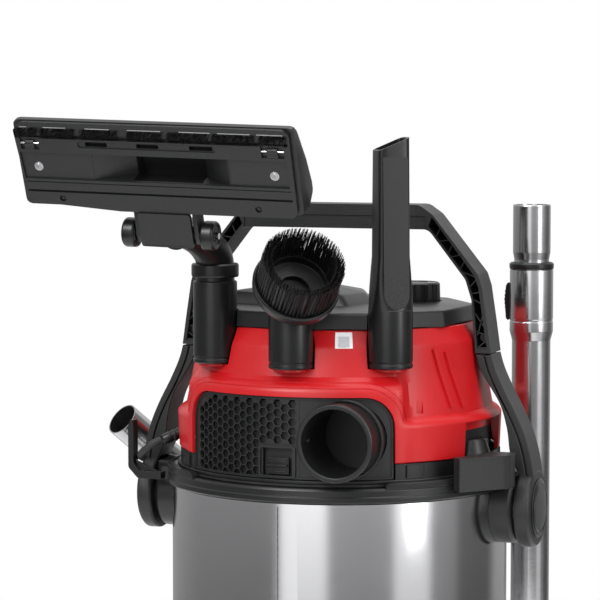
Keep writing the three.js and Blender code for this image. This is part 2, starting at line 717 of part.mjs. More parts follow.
const TELESCOPE = { bore: 17.8, inner: 17.3, bell: 21.4 };

function outerTube() {
  return join(
    upright(TUBE_R, TELESCOPE.bore, 84 + GAP, 606),
    cut(rod(TUBE_R, [LOBE, LOBE, 604], [LOBE, LOBE, 612], MEDIUM, TELESCOPE.bell),
      rod(TELESCOPE.bore, [LOBE, LOBE, 600], [LOBE, LOBE, 620])),
    upright(TELESCOPE.bell, TELESCOPE.bore, 612, TUBE_TOP - 5),
  );
}

function tubeCollar() {
  return upright(TELESCOPE.bell + 0.6, TELESCOPE.bore, TUBE_TOP - 5 + GAP, TUBE_TOP + 2);
}

function innerTube() {
  return cut(join(
    rod(TELESCOPE.inner, [LOBE, LOBE, 150], [LOBE, LOBE, 700]),
    rod(18.6, [LOBE, LOBE, 692], [LOBE, LOBE, 738]),
  ), rod(16.2, [LOBE, LOBE, 140], [LOBE, LOBE, 750]));
}

function tubeLockSlider() {
  const face = LOBE - TELESCOPE.bell - GAP;
  return plate([[face - 4, 625], [face, 622], [face, 662], [face - 4, 658], [face - 7, 644]],
    "xz", LOBE - 7, LOBE + 7);
}

// ---- bent hand tube with the hose's cuff ----

const HAND_MOUTH = new THREE.Vector3(-249, 57, 520);
const HAND_WAY = new THREE.Vector3(0.433, 0.646, -0.62).normalize();

function handTube() {
  const { x, y } = HAND_CLIP;
  const along = (reach) => HAND_MOUTH.clone().addScaledVector(HAND_WAY, reach).toArray();
  const down = [[x - 2.5, y - 4, 428], [x, y, 400], [x, y, 345], [x, y, 285]];
  const outer = sweep(17.5, [along(0), along(60), along(105), ...down], MEDIUM, 18);
  const inside = [along(-2), along(60), along(105), ...down.slice(0, 3), [x, y, 280]];
  const inner = sweep(16.2, inside, MEDIUM, 18);
  return cut(outer, inner);
}

function hoseCuff() {
  const { x, y } = HAND_CLIP;
  return pipe(21, 18.3, [x, y, 262], [x, y, 335]);
}

// ---- mains cord ----

function cordStart() {
  const to = new THREE.Vector3(...GLAND.to);
  const way = to.clone().sub(new THREE.Vector3(...GLAND.from)).normalize();
  return [0.8, 7].map((reach) => to.clone().addScaledVector(way, reach).toArray());
}

// From the gland, behind the cable hook, past the handle's pivot, down and round to the coil.
function powerCord() {
  const floor = CORD_R + 0.6;
  return sweep(CORD_R, [
    ...cordStart(), [-173.6, -66.8, 507.4], [-180.4, -61, 501.8], [-181.8, -53, 498.5], [-186, -43, 497],
    [-201, -19, 495.2], [-206.8, 6, 490], [-204, 40, 475], [-196, 70, 437], [-190, 82, 395],
    [-192, 78, 340], [-203, 62, 260], [-210, 50, 150], [-213, 53, 60], [-213, 55.5, 37],
    [-213.5, 62, 21], [-214, 72, 10.5], [-215, 86, floor + 0.6], [-216, 106, floor], [-216, 150, floor],
    [-208, 184, floor], [-180, 211, floor], [-135, 220, floor], [-95, 209, floor], [-58, 195, floor],
    [-35, 189.9, floor],
  ], 8, 60);
}

function cordCoil() {
  const { x, y, mean, half } = COIL;
  return ring(mean - half, mean + half, 0, 2 * half, LARGE).translate([x, y, 0]);
}

// The plug lies on top of the coil, its pins pointing back past the drum's middle.
function mainsPlug() {
  const x = COIL.x + 12;
  const y = COIL.y + COIL.mean - 1;
  const z = 2 * COIL.half + 17.4;
  const body = rod(17, [x - 14, y, z], [x - 46, y, z], MEDIUM);
  const relief = rod(4.5, [x, y, z], [x - 16, y, z], SMALL, 7);
  const pins = [-9.5, 9.5].map((side) => rod(2.4, [x - 44, y + side, z], [x - 65, y + side, z], 10));
  return join(body, relief, ...pins);
}

// ---- assembly ----

piece("drum", drum(), "brushedSteel");
piece("drum_floor", drumFloor(), "brushedSteel");
piece("rim_collar", rimCollar(), "blackPlastic");
piece("inlet_fitting", inletFitting(), "blackPlastic");
piece("drain_fitting", drainFitting(), "blackPlastic");
piece("drain_cap", drainCap(), "blackPlastic");
piece("base_tray", baseTray(), "blackPlastic");
const CORNERS = [["back_right", 1, 1], ["back_left", -1, 1], ["left", -1, -1], ["right", 1, -1]];
for (const [corner, sx, sy] of CORNERS) {
  piece(`caster_fork_${corner}`, casterFork(sx, sy), "blackPlastic");
  piece(`caster_wheel_${corner}`, casterWheel(sx, sy), "greyPlastic");
}
for (const [side, place] of [["right", (made) => made], ["left", mirroredX]]) {
  piece(`pivot_housing_${side}`, place(pivotHousing(side === "right")), "blackPlastic");
  piece(`pivot_pin_${side}`, place(pivotPin()), "chrome");
  piece(`bail_arm_${side}`, place(bailArm()), "blackPlastic");
  piece(`pivot_cap_${side}`, place(pivotCap()), "softBlack");
}
piece("bail_bow", bailBow(), "blackPlastic");
piece("cable_hook", cableHook(), "blackPlastic");
piece("hand_tube_clip", handTubeClip(), "blackPlastic");

piece("head_base", headBase(), "blackPlastic");
piece("head_gasket", headGasket(), "rubber");
piece("head_cover", headCover(), "redPlastic");
piece("top_deck", topDeck(), "blackPlastic");
piece("mode_knob", modeKnob(), "softBlack");
piece("vent_panel", ventPanel(), "blackPlastic");
piece("cleaning_slider", cleaningSlider(), "blackPlastic");
piece("blow_port", blowPort(), "blackPlastic");
piece("motor_housing", motorHousing(), "greyPlastic");
piece("impeller", impeller(), "greyPlastic");
piece("float_cage", floatCage(), "greyPlastic");
piece("float", floatBody(), "greyPlastic");
piece("filter_cartridge", filterCartridge(), "paper");
piece("cable_gland", cableGland(), "rubber");

piece("nozzle_neck", nozzleNeck(), "blackPlastic");
piece("nozzle_head", nozzleHead(), "blackPlastic");
piece("nozzle_sole", nozzleSole(), "blackPlastic");
piece("nozzle_brush_strip", nozzleBrushStrip(), "bristle");
piece("nozzle_axle", nozzleAxle(), "chrome");
piece("nozzle_wheel_left", nozzleWheel(-1), "softBlack");
piece("nozzle_wheel_right", nozzleWheel(1), "softBlack");
piece("brush_body", brushBody(), "blackPlastic");
piece("brush_bristles", brushBristles(), "bristle");
piece("crevice_tool", creviceTool(), "blackPlastic");

piece("outer_tube", outerTube(), "chrome");
piece("tube_collar", tubeCollar(), "blackPlastic");
piece("inner_tube", innerTube(), "chrome");
piece("tube_lock_slider", tubeLockSlider(), "blackPlastic");
piece("hand_tube", handTube(), "chrome");
piece("hose_cuff", hoseCuff(), "blackPlastic");

piece("power_cord", powerCord(), "rubber");
piece("cord_coil", cordCoil(), "rubber");
piece("mains_plug", mainsPlug(), "rubber");

export default vacuum;
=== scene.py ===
import math
import random

import bmesh
import bpy
from mathutils import Matrix, Vector


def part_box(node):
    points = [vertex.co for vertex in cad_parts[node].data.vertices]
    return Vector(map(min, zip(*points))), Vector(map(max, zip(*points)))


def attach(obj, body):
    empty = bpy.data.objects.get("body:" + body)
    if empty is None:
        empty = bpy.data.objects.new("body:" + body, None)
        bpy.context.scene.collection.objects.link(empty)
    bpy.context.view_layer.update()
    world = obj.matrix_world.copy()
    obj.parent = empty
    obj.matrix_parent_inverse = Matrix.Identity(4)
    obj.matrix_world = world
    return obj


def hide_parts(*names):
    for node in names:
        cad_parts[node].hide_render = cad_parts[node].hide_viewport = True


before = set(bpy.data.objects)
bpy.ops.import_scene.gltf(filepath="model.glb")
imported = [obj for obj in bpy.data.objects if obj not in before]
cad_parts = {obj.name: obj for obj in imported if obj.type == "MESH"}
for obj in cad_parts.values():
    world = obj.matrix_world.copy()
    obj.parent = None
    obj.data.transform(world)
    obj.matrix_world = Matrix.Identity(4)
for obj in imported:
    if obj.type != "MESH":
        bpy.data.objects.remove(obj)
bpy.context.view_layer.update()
random.seed(7)

# Shapes are built in millimetres about the drum's axis, and put in the frame as they are made.
MM = 0.001
drum_low, drum_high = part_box("drum")
CENTRE = Vector(((drum_low.x + drum_high.x) / 2, (drum_low.y + drum_high.y) / 2, 0.0))


def placed(point):
    return Vector(point) * MM + CENTRE


# ---- camera, light and floor ----

VIEW_TURN, VIEW_DROP = math.radians(19), math.radians(4.35)
camera = bpy.data.objects.new("camera", bpy.data.cameras.new("camera"))
camera.data.lens = 167.1
camera.data.sensor_width = 36
camera.data.clip_end = 50
camera.location = placed((826.9, -2518.0, 852.0))
camera.rotation_euler = (math.pi / 2 - VIEW_DROP, 0, VIEW_TURN)
bpy.context.scene.collection.objects.link(camera)
bpy.context.scene.camera = camera
bpy.context.scene.view_settings.view_transform = "Standard"


class Nodes:
    """A node tree, filled through short calls."""

    def __init__(self, tree):
        self.tree = tree
        self.out = {}

    def add(self, kind, **values):
        node = self.tree.nodes.new(kind)
        for key, value in values.items():
            if hasattr(node, key):
                setattr(node, key, value)
            else:
                node.inputs[key.replace("_", " ")].default_value = value
        return node

    def link(self, start, end):
        self.tree.links.new(start, end)


def studio():
    """A bright room with two light walls, and pure white behind the object."""
    world = bpy.data.worlds.new("studio")
    bpy.context.scene.world = world
    world.use_nodes = True
    tree = Nodes(world.node_tree)
    world.node_tree.nodes.clear()
    out = tree.add("ShaderNodeOutputWorld")
    room = tree.add("ShaderNodeBackground", Strength=0.80)
    back = tree.add("ShaderNodeBackground", Color=(1, 1, 1, 1), Strength=1.0)
    mix = tree.add("ShaderNodeMixShader")
    path = tree.add("ShaderNodeLightPath")
    place = tree.add("ShaderNodeTexCoord")
    axes = tree.add("ShaderNodeSeparateXYZ")
    turn = tree.add("ShaderNodeMath", operation="ARCTAN2")
    scale = tree.add("ShaderNodeMapRange")
    scale.inputs["From Min"].default_value = -math.pi
    scale.inputs["From Max"].default_value = math.pi
    ramp = tree.add("ShaderNodeValToRGB")
    for old in list(ramp.color_ramp.elements)[1:]:
        ramp.color_ramp.elements.remove(old)
    ramp.color_ramp.elements[0].position = ROOM_WALLS[0][0]
    for i, (at, grey) in enumerate(ROOM_WALLS):
        stop = ramp.color_ramp.elements[0] if i == 0 else ramp.color_ramp.elements.new(at)
        stop.color = (grey, grey, grey, 1)
    rise = tree.add("ShaderNodeMapRange")
    for name, value in (("From Min", -0.25), ("From Max", 0.9), ("To Min", 0.35), ("To Max", 1.5)):
        rise.inputs[name].default_value = value
    both = tree.add("ShaderNodeMix", data_type="RGBA", blend_type="MULTIPLY")
    both.inputs[0].default_value = 1
    tree.link(place.outputs["Generated"], axes.inputs[0])
    tree.link(axes.outputs["Y"], turn.inputs[0])
    tree.link(axes.outputs["X"], turn.inputs[1])
    tree.link(turn.outputs[0], scale.inputs["Value"])
    tree.link(scale.outputs[0], ramp.inputs[0])
    tree.link(axes.outputs["Z"], rise.inputs["Value"])
    tree.link(ramp.outputs[0], both.inputs[6])
    tree.link(rise.outputs[0], both.inputs[7])
    tree.link(both.outputs[2], room.inputs["Color"])
    tree.link(path.outputs["Is Camera Ray"], mix.inputs[0])
    tree.link(room.outputs[0], mix.inputs[1])
    tree.link(back.outputs[0], mix.inputs[2])
    tree.link(mix.outputs[0], out.inputs[0])


def bearing(degrees):
    """A direction as a part of a turn from -X round to -X again."""
    return ((degrees + 180) % 360) / 360


# Where the room's walls change brightness.
ROOM_WALLS = sorted((bearing(d), grey) for d, grey in (
    (-179, 0.70), (-125, 0.62), (-114, 0.60), (-111, 2.85), (-82, 2.9), (-78, 1.0), (-55, 0.95), (-37, 1.0),
    (-33, 2.6), (-10, 2.6), (-6, 0.9), (12, 0.8), (18, 0.4), (50, 0.35), (62, 1.1), (110, 1.1), (150, 0.9),
    (178, 0.70),
))
studio()


def lamp(name, at, to, size, watts):
    light = bpy.data.objects.new(name, bpy.data.lights.new(name, "AREA"))
    light.data.shape = "RECTANGLE"
    light.data.size, light.data.size_y = size
    light.data.energy = watts
    light.location = at
    light.rotation_euler = (Vector(to) - Vector(at)).to_track_quat("-Z", "Y").to_euler()
    bpy.context.scene.collection.objects.link(light)


lamp("key", (-0.9, -2.2, 2.2), (0, 0, 0.55), (1.0, 1.0), 34)
lamp("side", (2.4, -0.9, 1.2), (0, 0, 0.5), (0.6, 1.8), 13)
lamp("top", (0.2, 0.3, 2.6), (0, 0, 0.6), (1.6, 1.6), 14)


# ---- finishes ----

def finish(name, colour, rough, metal=0.0, spread=0.06, grain=0.35, bump=0.08, stretch=(1, 1, 1),
           vary=0.05, **fixed):
    """A procedural finish: two close colours in soft patches, uneven gloss, and a fine grain."""
    made = bpy.data.materials.new(name)
    made.use_nodes = True
    tree = Nodes(made.node_tree)
    shader = made.node_tree.nodes["Principled BSDF"]
    shader.inputs["Metallic"].default_value = metal
    for key, value in fixed.items():
        shader.inputs[key.replace("_", " ")].default_value = value
    place = tree.add("ShaderNodeTexCoord")
    mapped = tree.add("ShaderNodeMapping")
    mapped.inputs["Scale"].default_value = stretch
    tree.link(place.outputs["Object"], mapped.inputs[0])
    patches = tree.add("ShaderNodeTexNoise", Scale=26.0, Detail=3.0)
    fine = tree.add("ShaderNodeTexNoise", Scale=1000.0 / grain, Detail=4.0)
    tree.link(place.outputs["Object"], patches.inputs["Vector"])
    tree.link(mapped.outputs[0], fine.inputs["Vector"])
    mix = tree.add("ShaderNodeMix", data_type="RGBA")
    mix.inputs[6].default_value = [c * (1 - spread) for c in colour] + [1]
    mix.inputs[7].default_value = [min(1, c * (1 + spread)) for c in colour] + [1]
    share = tree.add("ShaderNodeMath", operation="ADD")
    half = tree.add("ShaderNodeMath", operation="MULTIPLY")
    half.inputs[1].default_value = 0.5
    tree.link(patches.outputs[0], share.inputs[0])
    tree.link(fine.outputs[0], share.inputs[1])
    tree.link(share.outputs[0], half.inputs[0])
    tree.link(half.outputs[0], mix.inputs[0])
    tree.link(mix.outputs[2], shader.inputs["Base Color"])
    gloss = tree.add("ShaderNodeMapRange")
    gloss.inputs["From Min"].default_value, gloss.inputs["From Max"].default_value = 0.3, 0.7
    gloss.inputs["To Min"].default_value = max(0.02, rough - vary)
    gloss.inputs["To Max"].default_value = rough + vary
    tree.link(half.outputs[0], gloss.inputs["Value"])
    tree.link(gloss.outputs[0], shader.inputs["Roughness"])
    relief = tree.add("ShaderNodeBump", Strength=bump, Distance=0.0006)
    tree.link(fine.outputs[0], relief.inputs["Height"])
    tree.link(relief.outputs[0], shader.inputs["Normal"])
    return made


LOOK = {
    "black": finish("black_plastic", (0.010, 0.0103, 0.011), 0.33, grain=0.8, bump=0.10, spread=0.15,
                    Specular_IOR_Level=0.42),
    "grained": finish("black_grained", (0.014, 0.0144, 0.015), 0.42, grain=1.1, bump=0.35, spread=0.22,
                      Specular_IOR_Level=0.42),
    "soft": finish("black_soft", (0.007, 0.0073, 0.008), 0.30, grain=0.7, bump=0.08, spread=0.15,
                   Specular_IOR_Level=0.42),
    # A darker, rougher black for the backs of pockets and holes, which paints their shade.
    "painted_shade": finish("painted_shade_black", (0.006, 0.006, 0.007), 0.55, grain=1.0, bump=0.2),
    "red": finish("red_plastic", (0.50, 0.008, 0.011), 0.34, grain=1.4, bump=0.012, spread=0.03,
                  Specular_IOR_Level=0.4),
    "drum": finish("steel_drum", (0.60, 0.60, 0.615), 0.13, metal=1.0, grain=0.35, bump=0.03,
                   stretch=(0.012, 0.012, 1.0), spread=0.03, vary=0.03, Anisotropic=0.6),
    "chrome": finish("chromed_steel", (0.52, 0.52, 0.53), 0.20, metal=1.0, grain=0.6, bump=0.02,
                     stretch=(0.05, 0.05, 0.4), spread=0.08, vary=0.05, Anisotropic=0.4),
    "bright": finish("bright_steel", (0.82, 0.82, 0.83), 0.16, metal=1.0, grain=0.6, bump=0.06),
    "rubber": finish("black_rubber", (0.018, 0.018, 0.019), 0.62, grain=0.6, bump=0.2),
    "bristle": finish("black_bristle", (0.012, 0.012, 0.013), 0.38, grain=0.5, bump=0.05),
    "grey": finish("grey_plastic", (0.20, 0.205, 0.21), 0.5, grain=1.0, bump=0.2),
    # Zinc for the sole's screw discs; also the grey metal of the strips that paint glints along the brush
    # groove.
    "zinc_and_painted_glint": finish("dull_zinc_and_painted_glint", (0.42, 0.42, 0.43), 0.42, metal=0.8, grain=0.5, bump=0.1),
    "label": finish("white_label", (0.82, 0.83, 0.84), 0.4, grain=0.9, bump=0.04, spread=0.02),
    "labelgrey": finish("grey_label", (0.50, 0.51, 0.53), 0.4, grain=0.9, bump=0.04),
    "paper": finish("filter_paper", (0.66, 0.62, 0.52), 0.85, grain=1.2, bump=0.4),
    "seam": finish("weld_seam", (0.16, 0.16, 0.165), 0.4, metal=1.0, grain=0.9, bump=0.5, spread=0.4),
}


# ---- shapes ----

def softened(points, radius, ring=False, steps=3):
    """A line of 2-D points with its corners rounded."""
    count = len(points)
    line = []
    for i, point in enumerate(points):
        here = Vector(point[:2])
        size = point[2] if len(point) > 2 else radius
        if size <= 0 or (not ring and i in (0, count - 1)):
            line.append(tuple(here))
            continue
        before, after = Vector(points[i - 1][:2]), Vector(points[(i + 1) % count][:2])
        back, on = (before - here), (after - here)
        angle = back.angle(on, math.pi)
        if angle > math.radians(176):
            line.append(tuple(here))
            continue
        reach = min(size / math.tan(angle / 2), 0.48 * back.length, 0.48 * on.length)
        start, end = here + back.normalized() * reach, here + on.normalized() * reach
        for k in range(steps + 1):
            t = k / steps
            line.append(tuple(start.lerp(here, t).lerp(here.lerp(end, t), t)))
    return line


def skin(rings, ring=False):
    """A surface through loops of points. A loop of one point closes to a tip."""
    mesh = bmesh.new()
    loops = [[mesh.verts.new(p) for p in loop] for loop in rings]
    pairs = list(zip(loops, loops[1:])) + ([(loops[-1], loops[0])] if ring else [])
    for a, b in pairs:
        n = max(len(a), len(b))
        for i in range(n):
            j = (i + 1) % n
            if len(a) == 1 and len(b) > 1:
                mesh.faces.new((a[0], b[j], b[i]))
            elif len(b) == 1 and len(a) > 1:
                mesh.faces.new((a[i], a[j], b[0]))
            elif len(a) > 1:
                mesh.faces.new((a[i], a[j], b[j], b[i]))
    if not ring:
        for loop in (loops[0], loops[-1]):
            if len(loop) > 2:
                mesh.faces.new(loop)
    bmesh.ops.recalc_face_normals(mesh, faces=mesh.faces)
    return mesh


def across(way):
    """Two directions square to a direction and to each other."""
    way = Vector(way).normalized()
    side = Vector((1, 0, 0)) if abs(way.x) < 0.9 else Vector((0, 1, 0))
    side = (side - way * side.dot(way)).normalized()
    return side, way.cross(side)


def turned(profile, at=(0, 0, 0), way=(0, 0, 1), steps=72, ring=False, round_=0.0):
    """A profile of [radius, distance] points turned about a line."""
    profile = softened(profile, round_, ring)
    way = Vector(way).normalized()
    side, up = across(way)
    spokes = [side * math.cos(a) + up * math.sin(a)
              for a in (2 * math.pi * i / steps for i in range(steps))]
    loops = []
    for radius, along in profile:
        base = Vector(at) + way * along
        loops.append([base] if radius < 1e-6 else [base + spoke * radius for spoke in spokes])
    return skin(loops, ring=ring)


def rod(radius, start, end, steps=32, edge=0.0):
    start, end = Vector(start), Vector(end)
    length = (end - start).length
    outline = [(0, 0), (radius, 0), (radius, length), (0, length)]
    return turned(outline, start, end - start, steps, round_=edge)


PLANE = {"xy": (0, 1, 2), "xz": (0, 2, 1), "yz": (1, 2, 0)}


def slab(outline, plane, low, high):
    """A flat outline with a thickness."""
    a, b, c = PLANE[plane]

    def spot(point, level):
        made = [0, 0, 0]
        made[a], made[b], made[c] = point[0], point[1], level
        return made

    return skin([[spot(p, low) for p in outline], [spot(p, high) for p in outline]])


def block(low, high):
    (x0, y0, z0), (x1, y1, z1) = low, high
    return slab(oblong(x0, y0, x1, y1), "xy", z0, z1)


def oblong(x0, y0, x1, y1, round_=0, steps=3):
    """A rectangle's outline, with rounded corners if a radius is given."""
    corners = [(x0, y0), (x1, y0), (x1, y1), (x0, y1)]
    return softened(corners, round_, True, steps) if round_ else corners


def polar(radius, degrees):
    turn = math.radians(degrees)
    return radius * math.cos(turn), radius * math.sin(turn)


def circle(radius, count):
    return [(radius * math.cos(a), radius * math.sin(a))
            for a in (2 * math.pi * k / count for k in range(count))]


def curve_through(points, count):
    """Evenly spread points on a smooth line through the given ones."""
    points = [Vector(p) for p in points]
    first, last = 2 * points[0] - points[1], 2 * points[-1] - points[-2]
    whole = [first, *points, last]
    dense = []
    for i in range(1, len(whole) - 2):
        p0, p1, p2, p3 = whole[i - 1:i + 3]
        t1 = max((p1 - p0).length, 1e-4) ** 0.5
        t2 = max((p2 - p1).length, 1e-4) ** 0.5
        t3 = max((p3 - p2).length, 1e-4) ** 0.5
        m1 = t2 * ((p1 - p0) / t1 - (p2 - p0) / (t1 + t2) + (p2 - p1) / t2)
        m2 = t2 * ((p2 - p1) / t2 - (p3 - p1) / (t2 + t3) + (p3 - p2) / t3)
        for k in range(24):
            t = k / 24
            dense.append(p1 * (2 * t ** 3 - 3 * t * t + 1) + m1 * (t ** 3 - 2 * t * t + t)
                         + p2 * (3 * t * t - 2 * t ** 3) + m2 * (t ** 3 - t * t))
    dense.append(points[-1])
    spans = [0.0]
    for a, b in zip(dense, dense[1:]):
        spans.append(spans[-1] + (b - a).length)
    result, j = [], 0
    for k in range(count):
        want = spans[-1] * k / (count - 1)
        while j < len(spans) - 2 and spans[j + 1] < want:
            j += 1
        share = (want - spans[j]) / max(spans[j + 1] - spans[j], 1e-9)
        result.append(dense[j].lerp(dense[j + 1], min(share, 1)))
    return result


def swept(path, section, sizes=None):
    """A section of [side, up] points carried along a line, scaled by the way if sizes are given."""
    path = [Vector(p) for p in path]
    loops = []
    normal = None
    for i, point in enumerate(path):
        way = (path[min(i + 1, len(path) - 1)] - path[max(i - 1, 0)]).normalized()
        normal = across(way)[0] if normal is None else normal
        normal = (normal - way * normal.dot(way)).normalized()
        side = way.cross(normal)
        size = sizes[i] if sizes else 1
        loops.append([point + (side * s + normal * u) * size for s, u in section])
    return skin(loops)


def moved(mesh, matrix):
    bmesh.ops.transform(mesh, matrix=matrix, verts=mesh.verts)
    return mesh


def mirrored(mesh):
    moved(mesh, Matrix.Scale(-1, 4, (1, 0, 0)))
    bmesh.ops.recalc_face_normals(mesh, faces=mesh.faces)
    return mesh


def poured(mesh, whole):
    """Adds one shape to another and lets the first go."""
    spare = bpy.data.meshes.new("spare")
    mesh.to_mesh(spare)
    mesh.free()
    whole.from_mesh(spare)
    bpy.data.meshes.remove(spare)


def together(*meshes):
    """Several shapes as one, each left as it is."""
    whole = bmesh.new()
    for mesh in meshes:
        poured(mesh, whole)
    return whole


def combined(base, tools, how):
    """One shape joined with or cut by others."""
    objects = []
    for mesh in (base, *tools):
        data = bpy.data.meshes.new("spare")
        mesh.to_mesh(data)
        objects.append(bpy.data.objects.new("spare", data))
        bpy.context.scene.collection.objects.link(objects[-1])
    for tool in objects[1:]:
        step = objects[0].modifiers.new("step", "BOOLEAN")
        step.operation, step.object, step.solver = how, tool, "EXACT"
    bpy.context.view_layer.update()
    depsgraph = bpy.context.evaluated_depsgraph_get()
    data = bpy.data.meshes.new_from_object(objects[0].evaluated_get(depsgraph))
    result = bmesh.new()
    result.from_mesh(data)
    bpy.data.meshes.remove(data)
    for spare in objects:
        data = spare.data
        bpy.data.objects.remove(spare)
        bpy.data.meshes.remove(data)
    bmesh.ops.remove_doubles(result, verts=result.verts, dist=0.002)
    bmesh.ops.dissolve_degenerate(result, edges=result.edges, dist=0.002)
    return result


def cut(base, *tools):
    return combined(base, tools, "DIFFERENCE")


def joined(base, *tools):
    return combined(base, tools, "UNION")


def shared(base, tool):
    return combined(base, [tool], "INTERSECT")


def piece(name, mesh, look, body, nodes=(), bevel=0.0, steps=2, angle=38, extra=()):
    """A shown piece of the object. extra lists more (shape, look) pairs on the same piece."""
    data = bpy.data.meshes.new(name)
    whole = bmesh.new()
    for index, (part, part_look) in enumerate([(mesh, look), *extra]):
        for face in part.faces:
            face.material_index = index
        poured(part, whole)
        data.materials.append(LOOK[part_look])
    bmesh.ops.transform(whole, matrix=Matrix.Translation(CENTRE) @ Matrix.Scale(MM, 4), verts=whole.verts)
    whole.to_mesh(data)
    whole.free()
    data.shade_smooth()
    if not bevel:
        data.set_sharp_from_angle(angle=math.radians(angle))
    made = bpy.data.objects.new(name, data)
    bpy.context.scene.collection.objects.link(made)
    if bevel:
        rounding = made.modifiers.new("rounding", "BEVEL")
        rounding.width, rounding.segments = bevel * MM, steps
        rounding.limit_method, rounding.angle_limit = "ANGLE", math.radians(angle)
        rounding.harden_normals = True
        rounding.miter_outer = "MITER_ARC"
    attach(made, body)
    if nodes:
        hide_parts(*nodes)
    return made


def repaint(node, look):
    """A CAD solid shown as it is, in another finish."""
    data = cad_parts[node].data
    data.materials.clear()
    data.materials.append(LOOK[look])


def smooth_step(value, low, high):
    t = min(max((value - low) / (high - low), 0), 1)
    return t * t * (3 - 2 * t)


def between(value, table):
    """A value read off a table of [position, value] rows, in straight steps."""
    for (a, va), (b, vb) in zip(table, table[1:]):
        if value <= b:
            return va + (vb - va) * max(value - a, 0) / (b - a)
    return table[-1][1]


# ---- tank ----

X, Y, Z = (1, 0, 0), (0, 1, 0), (0, 0, 1)
DRUM_R, RIM_R, PIVOT_Z = 160.0, 165.2, 460.0
INLET_Z, DRAIN_Z = 395, 134
LOBE, WHEEL_R, CASTER_TRAIL = 150.0, 25, 18
HAND_AT = Vector((-190, 150, 0))


def screw(at, way, size=3.2):
    """A round screw head with a crossed slot."""
    way = Vector(way).normalized()
    side, up = across(way)
    head = turned([(0, 0), (size, 0), (size, 0.5), (size * 0.8, 1.1), (0, 1.3)], at, way, 20)
    at = Vector(at) + way * 0.7
    slots = []
    for a, b in ((side, up), (up, side)):
        loop = [at + a * s * size * 0.6 + b * t * 0.35 for s, t in ((-1, -1), (1, -1), (1, 1), (-1, 1))]
        slots.append(skin([loop, [p + way * 2 for p in loop]]))
    return cut(head, *slots)


def make_drum():
    outer = [(0, 80.2), (154, 80.2, 5), (160, 86.5, 5), (160, 118), (158.9, 120.5, 2), (158.9, 124.5, 2),
             (160, 127), (160, 477.0, 0.6), (157, 477.6, 0.6), (157, 487.4)]
    inner = [(156, 487.4), (156, 470.2, 6), (158.4, 462, 6), (159, 448.2, 4), (159, 127.3),
             (157.9, 124.7), (157.9, 120.3), (159, 117.7), (159, 87, 5), (153.4, 81.4, 5), (0, 81.4)]
    shell = turned(outer + inner, steps=180)
    inlet = rod(29.4, (0, 120, INLET_Z), (0, 200, INLET_Z), 48)
    drain = rod(16.4, (0, -120, DRAIN_Z), (0, -200, DRAIN_Z), 32)
    piece("drum_shell", cut(shell, inlet, drain), "drum", "tank", ["drum", "drum_floor"], angle=30)


def make_seam():
    """The weld down the drum's front."""
    angle = math.radians(-92.3)
    seam = []
    for k in range(162):
        z = 128 + k * 2.15
        wide = 0.75 + 0.2 * math.sin(k * 1.9)
        high = 0.09 + 0.07 * math.cos(k * 2.7)
        seam.append([((DRUM_R + h) * math.cos(angle + s * wide / DRUM_R),
                      (DRUM_R + h) * math.sin(angle + s * wide / DRUM_R), z)
                     for s, h in ((-1, -0.2), (-0.7, high), (0, high + 0.12), (0.7, high), (1, -0.2))])
    piece("drum_weld_seam", skin(seam), "seam", "tank")


def make_rim():
    profile = [(157.3, 478), (163.6, 478, 1.0), (164.9, 479.6, 1.0), (164.9, 483.6, 0.8),
               (163.9, 484.6, 0.4), (163.9, 489.5, 1.2), (162.6, 491.8, 0.8), (156, 491.8), (156, 490.6),
               (150.4, 490.6), (150.4, 488.2), (157.3, 488.2)]
    band = turned(profile, steps=168, ring=True, round_=0.4)
    # The thicker seat under the latch bracket, and a shorter one on the far left.
    seats = []
    for start, end in ((-57.0, -20.0), (200.0, 232.0)):
        loops = []
        for k in range(25):
            high = 496.6 - 2.2 * smooth_step(abs(k - 12), 11, 12)
            section = ((158.5, 490.8), (164.0, 490.8), (164.4, 492), (164.2, high), (158.5, high))
            loops.append([(*polar(r, start + (end - start) * k / 24), z) for r, z in section])
        seats.append(skin(loops))
    piece("rim_band", together(band, *seats), "black", "tank", ["rim_collar"], angle=30)


def fitting(z, side, outer, bore, flange, start, end, lip):
    """A round spout on the drum's wall with its flange."""
    wall = rod(DRUM_R + 0.3, (0, 0, z - 80), (0, 0, z + 80), 96)
    root = 135
    reach = end - root
    plate = rod(flange, (0, side * 130, z), (0, side * start, z), 64, edge=2.0)
    spout = turned([(bore, 0), (outer, 0), (outer, reach - 9), (outer + lip, reach - 8, 0.8),
                    (outer + lip, reach, 1.2), (bore, reach, 1.0)], (0, side * root, z), (0, side, 0), 64,
                   ring=True, round_=0.3)
    hole = rod(bore, (0, side * 100, z), (0, side * (end + 9), z), 64)
    return together(cut(plate, wall, hole), cut(spout, wall))


def make_fittings():
    inlet = [fitting(INLET_Z, 1, 29, 24, 44, 167, 205, 4)]
    for k in range(4):
        x, z = polar(37, 45 + 90 * k)
        inlet.append(screw((x, 166.9, INLET_Z + z), Y))
    piece("inlet_spout", together(*inlet), "black", "tank", ["inlet_fitting"], angle=35)
    piece("drain_spout", fitting(DRAIN_Z, -1, 16, 11, 25, 166, 178, 0), "black", "tank",
          ["drain_fitting"], angle=35)


def make_drain_cap():
    cap = rod(20, (0, -178.4, DRAIN_Z), (0, -190.2, DRAIN_Z), 64, edge=1.6)
    grips = []
    for k in range(16):
        x, z = polar(20.6, k * 22.5)
        grips.append(rod(1.7, (x, -181, DRAIN_Z + z), (x, -195, DRAIN_Z + z), 12))
    dish = turned([(0, 0), (11, 0), (13, 2), (13, 6), (0, 6)], (0, -188.6, DRAIN_Z), (0, -1, 0), 40)
    stem = rod(10.3, (0, -164.4, DRAIN_Z), (0, -178.6, DRAIN_Z), 32)
    bar = slab(oblong(-10, DRAIN_Z - 2.2, 10, DRAIN_Z + 2.2, 1.5), "xz", -190.0, -188.0)
    piece("drain_plug", together(cut(cap, *grips, dish), stem, bar), "soft", "cap", ["drain_cap"], angle=35)


